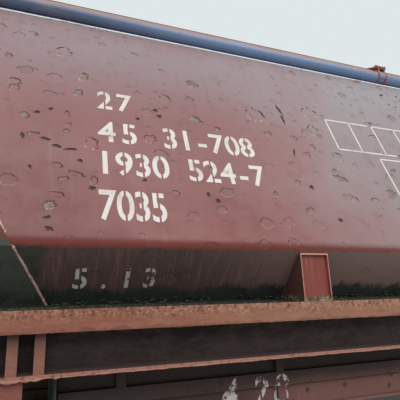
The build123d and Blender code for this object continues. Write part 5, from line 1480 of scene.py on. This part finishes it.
# Hand brake: sheet column with a bolted cover, a cast wheel with three bent spokes and its nut.
BRAKE_X, BRAKE_OUT, BRAKE_TOP, BRAKE_PLINTH = -5.455, -0.700, 2.0486, 1.298
hub = Vector((-5.375, BRAKE_OUT, 1.9886))
pieces = []
for half, top, edge in ((0.045, BRAKE_TOP, 0.008), (0.060, BRAKE_PLINTH, 0.002)):
    pieces.append(plate((BRAKE_X - half, BRAKE_OUT - half, DECK_FACE),
                        (BRAKE_X + half, BRAKE_OUT + half, top), edge))
pieces += [bolts(0.007, 0.006, [Matrix.Translation((BRAKE_X + dx, BRAKE_OUT + dy, BRAKE_PLINTH))
                                for dx in (-0.052, 0.052) for dy in (-0.052, 0.052)]),
           bolts(0.005, 0.004, [placed((BRAKE_X + dx, BRAKE_OUT + 0.045, z), ACROSS)
                                for dx in (-0.033, 0.033) for z in (1.40, 1.58, 1.76, 1.94)]),
           bolts(0.014, 0.012, [placed(hub + Vector((0.014, 0, 0)), ALONG)]),
           lathe(((0, 0.036), (0.012, 0.034), (0.020, 0.024), (0.040, 0.016), (0.085, 0.016)),
                 (BRAKE_X + 0.030, BRAKE_OUT, hub.z), ALONG, 32),
           lathe(((-0.014, 0.030), (-0.010, 0.034), (0.010, 0.034), (0.014, 0.030)), hub, ALONG, 32),
           made(bpy.ops.mesh.primitive_torus_add, major_radius=0.168, minor_radius=0.0115, major_segments=64,
                minor_segments=14, location=hub, rotation=(0, math.pi / 2, 0))]
for angle in (math.radians(degrees) for degrees in (90, 210, 330)):
    aim = Vector((0, math.cos(angle), math.sin(angle)))
    spoke = [hub + aim * away - Vector((back, 0, 0)) for away,
             back in ((0.028, 0.006), (0.09, 0.008), (0.166, 0))]
    pieces.append(rod(spoke, 0.0088, 3))
settle(pieces, "cast_hand_brake", rail_paint, 40, instead_of="hand_brake")


# Brake tanks and pipe: welded drums with dished ends on strapped hangers, and the main pipe in clips.
TANK_OUT, SILL_FOOT = -0.09, 0.9995
PIPE_OUT, PIPE_HEIGHT = 0.110, 0.976
# columns: distance from the drum's end and radius, both as shares of the drum's radius
DISHED = ((0, 0.34), (0.05, 0.62), (0.16, 0.85), (0.30, 0.965), (0.40, 1.0))


def drum(node, x, length, radius, height):
    """Drum lying along the wagon, its two end welds, its two strapped hangers and its drain plug."""
    half = length / 2
    shell = [(back * radius - half, share * radius) for back, share in DISHED]
    shell += [(-along, wide) for along, wide in reversed(shell)]
    seam = ((-0.004, radius), (0, radius + 0.0025), (0.004, radius))
    band = ((-0.025, radius), (-0.024, radius + 0.004), (0.024, radius + 0.004), (0.025, radius))
    plug = ((0, 0.012), (0.020, 0.012), (0.022, 0.008), (0.034, 0.008))
    pieces = [lathe(shell, (x, TANK_OUT, height), ALONG, 56),
              lathe(plug, (x, TANK_OUT, height - radius + 0.004), (0, 0, -1), 12)]
    for sign in SIGNS:
        pieces.append(lathe(seam, (x + sign * (half - 0.42 * radius), TANK_OUT, height), ALONG, 56))
        strap_x = x + sign * 0.3 * length
        nuts = [placed((strap_x, TANK_OUT + reach * 0.014, height + radius + 0.022), (0, reach, 0))
                for reach in SIGNS]
        pieces += [lathe(band, (strap_x, TANK_OUT, height), ALONG, 56), bolts(0.010, 0.009, nuts),
                   plate((strap_x - 0.025, TANK_OUT - 0.014, height + radius - 0.01),
                         (strap_x + 0.025, TANK_OUT + 0.014, SILL_FOOT))]
    settle(pieces, f"welded_{node}", steel_paint, 35, instead_of=node)


drum("air_reservoir", 1.5, 1.15, 0.19, 0.750)
drum("brake_cylinder", -1.5, 0.62, 0.15, 0.790)
pipe = [lathe(((-3.335, 0.0170), (3.335, 0.0170)), (0, PIPE_OUT, PIPE_HEIGHT), ALONG, 24)]
for x in (-2.4, -1.2, 0.0, 1.2, 2.4):
    corners = (x - 0.015, PIPE_OUT - 0.012, PIPE_HEIGHT), (x + 0.015, PIPE_OUT + 0.012, SILL_FOOT)
    pipe.append(plate(*corners, 0.001))
    pipe.append(lathe(((-0.014, 0.0205), (0.014, 0.0205)), (x, PIPE_OUT, PIPE_HEIGHT), ALONG, 24))
for x in (-3.3, -0.6, 0.6, 3.3):
    coupler = ((-0.022, 0.018), (-0.018, 0.0225), (0.018, 0.0225), (0.022, 0.018))
    pipe.append(lathe(coupler, (x, PIPE_OUT, PIPE_HEIGHT), ALONG, 6))
settle(pipe, "drawn_brake_pipe", steel_paint, 35, instead_of="brake_pipe")


# Moss: small cushions that have settled where water stands, on the sole bars' tops against the
# slopes, at the struts' feet and along the hips.
MOSS_PER_SIDE = 1500
moss_green = flat_finish("moss", (40, 48, 33), (66, 66, 44), 0.95, 60)
for side, side_name in SIDES:
    cushion = made(bpy.ops.mesh.primitive_ico_sphere_add, subdivisions=1, radius=1.0)
    chance = random.Random(5)
    for vertex in cushion.data.vertices:
        vertex.co *= chance.uniform(0.75, 1.15)
        vertex.co.z = max(vertex.co.z, -0.3) * 0.55
    chance = random.Random(77 + side)
    placings = []
    while len(placings) < MOSS_PER_SIDE:
        x = chance.uniform(-5.4, 5.4)
        thick = 0.5 + 0.5 * math.sin(x * 5.1 + side) * math.sin(x * 1.7)
        if chance.random() > 0.25 + 0.75 * thick:
            continue
        if abs(x) < 3.66 and chance.random() < 0.55:
            out = chance.uniform(1.236, 1.262)
            height = 1.282 + chance.random() ** 2 * 0.030
        else:
            out = SOLE_OUT - abs(chance.gauss(0, 0.045)) - 0.026
            height = 1.280
        size = chance.uniform(0.004, 0.012)
        stretch = Matrix.Diagonal((size * chance.uniform(0.8, 1.8), size, size, 1))
        spin = Matrix.Rotation(chance.uniform(0, 3.1), 4, "Z")
        placings.append(Matrix.Translation((x, side * out, height)) @ spin @ stretch)
    settle(copies(cushion, placings), f"moss_{side_name}", moss_green, 80)

low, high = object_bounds()
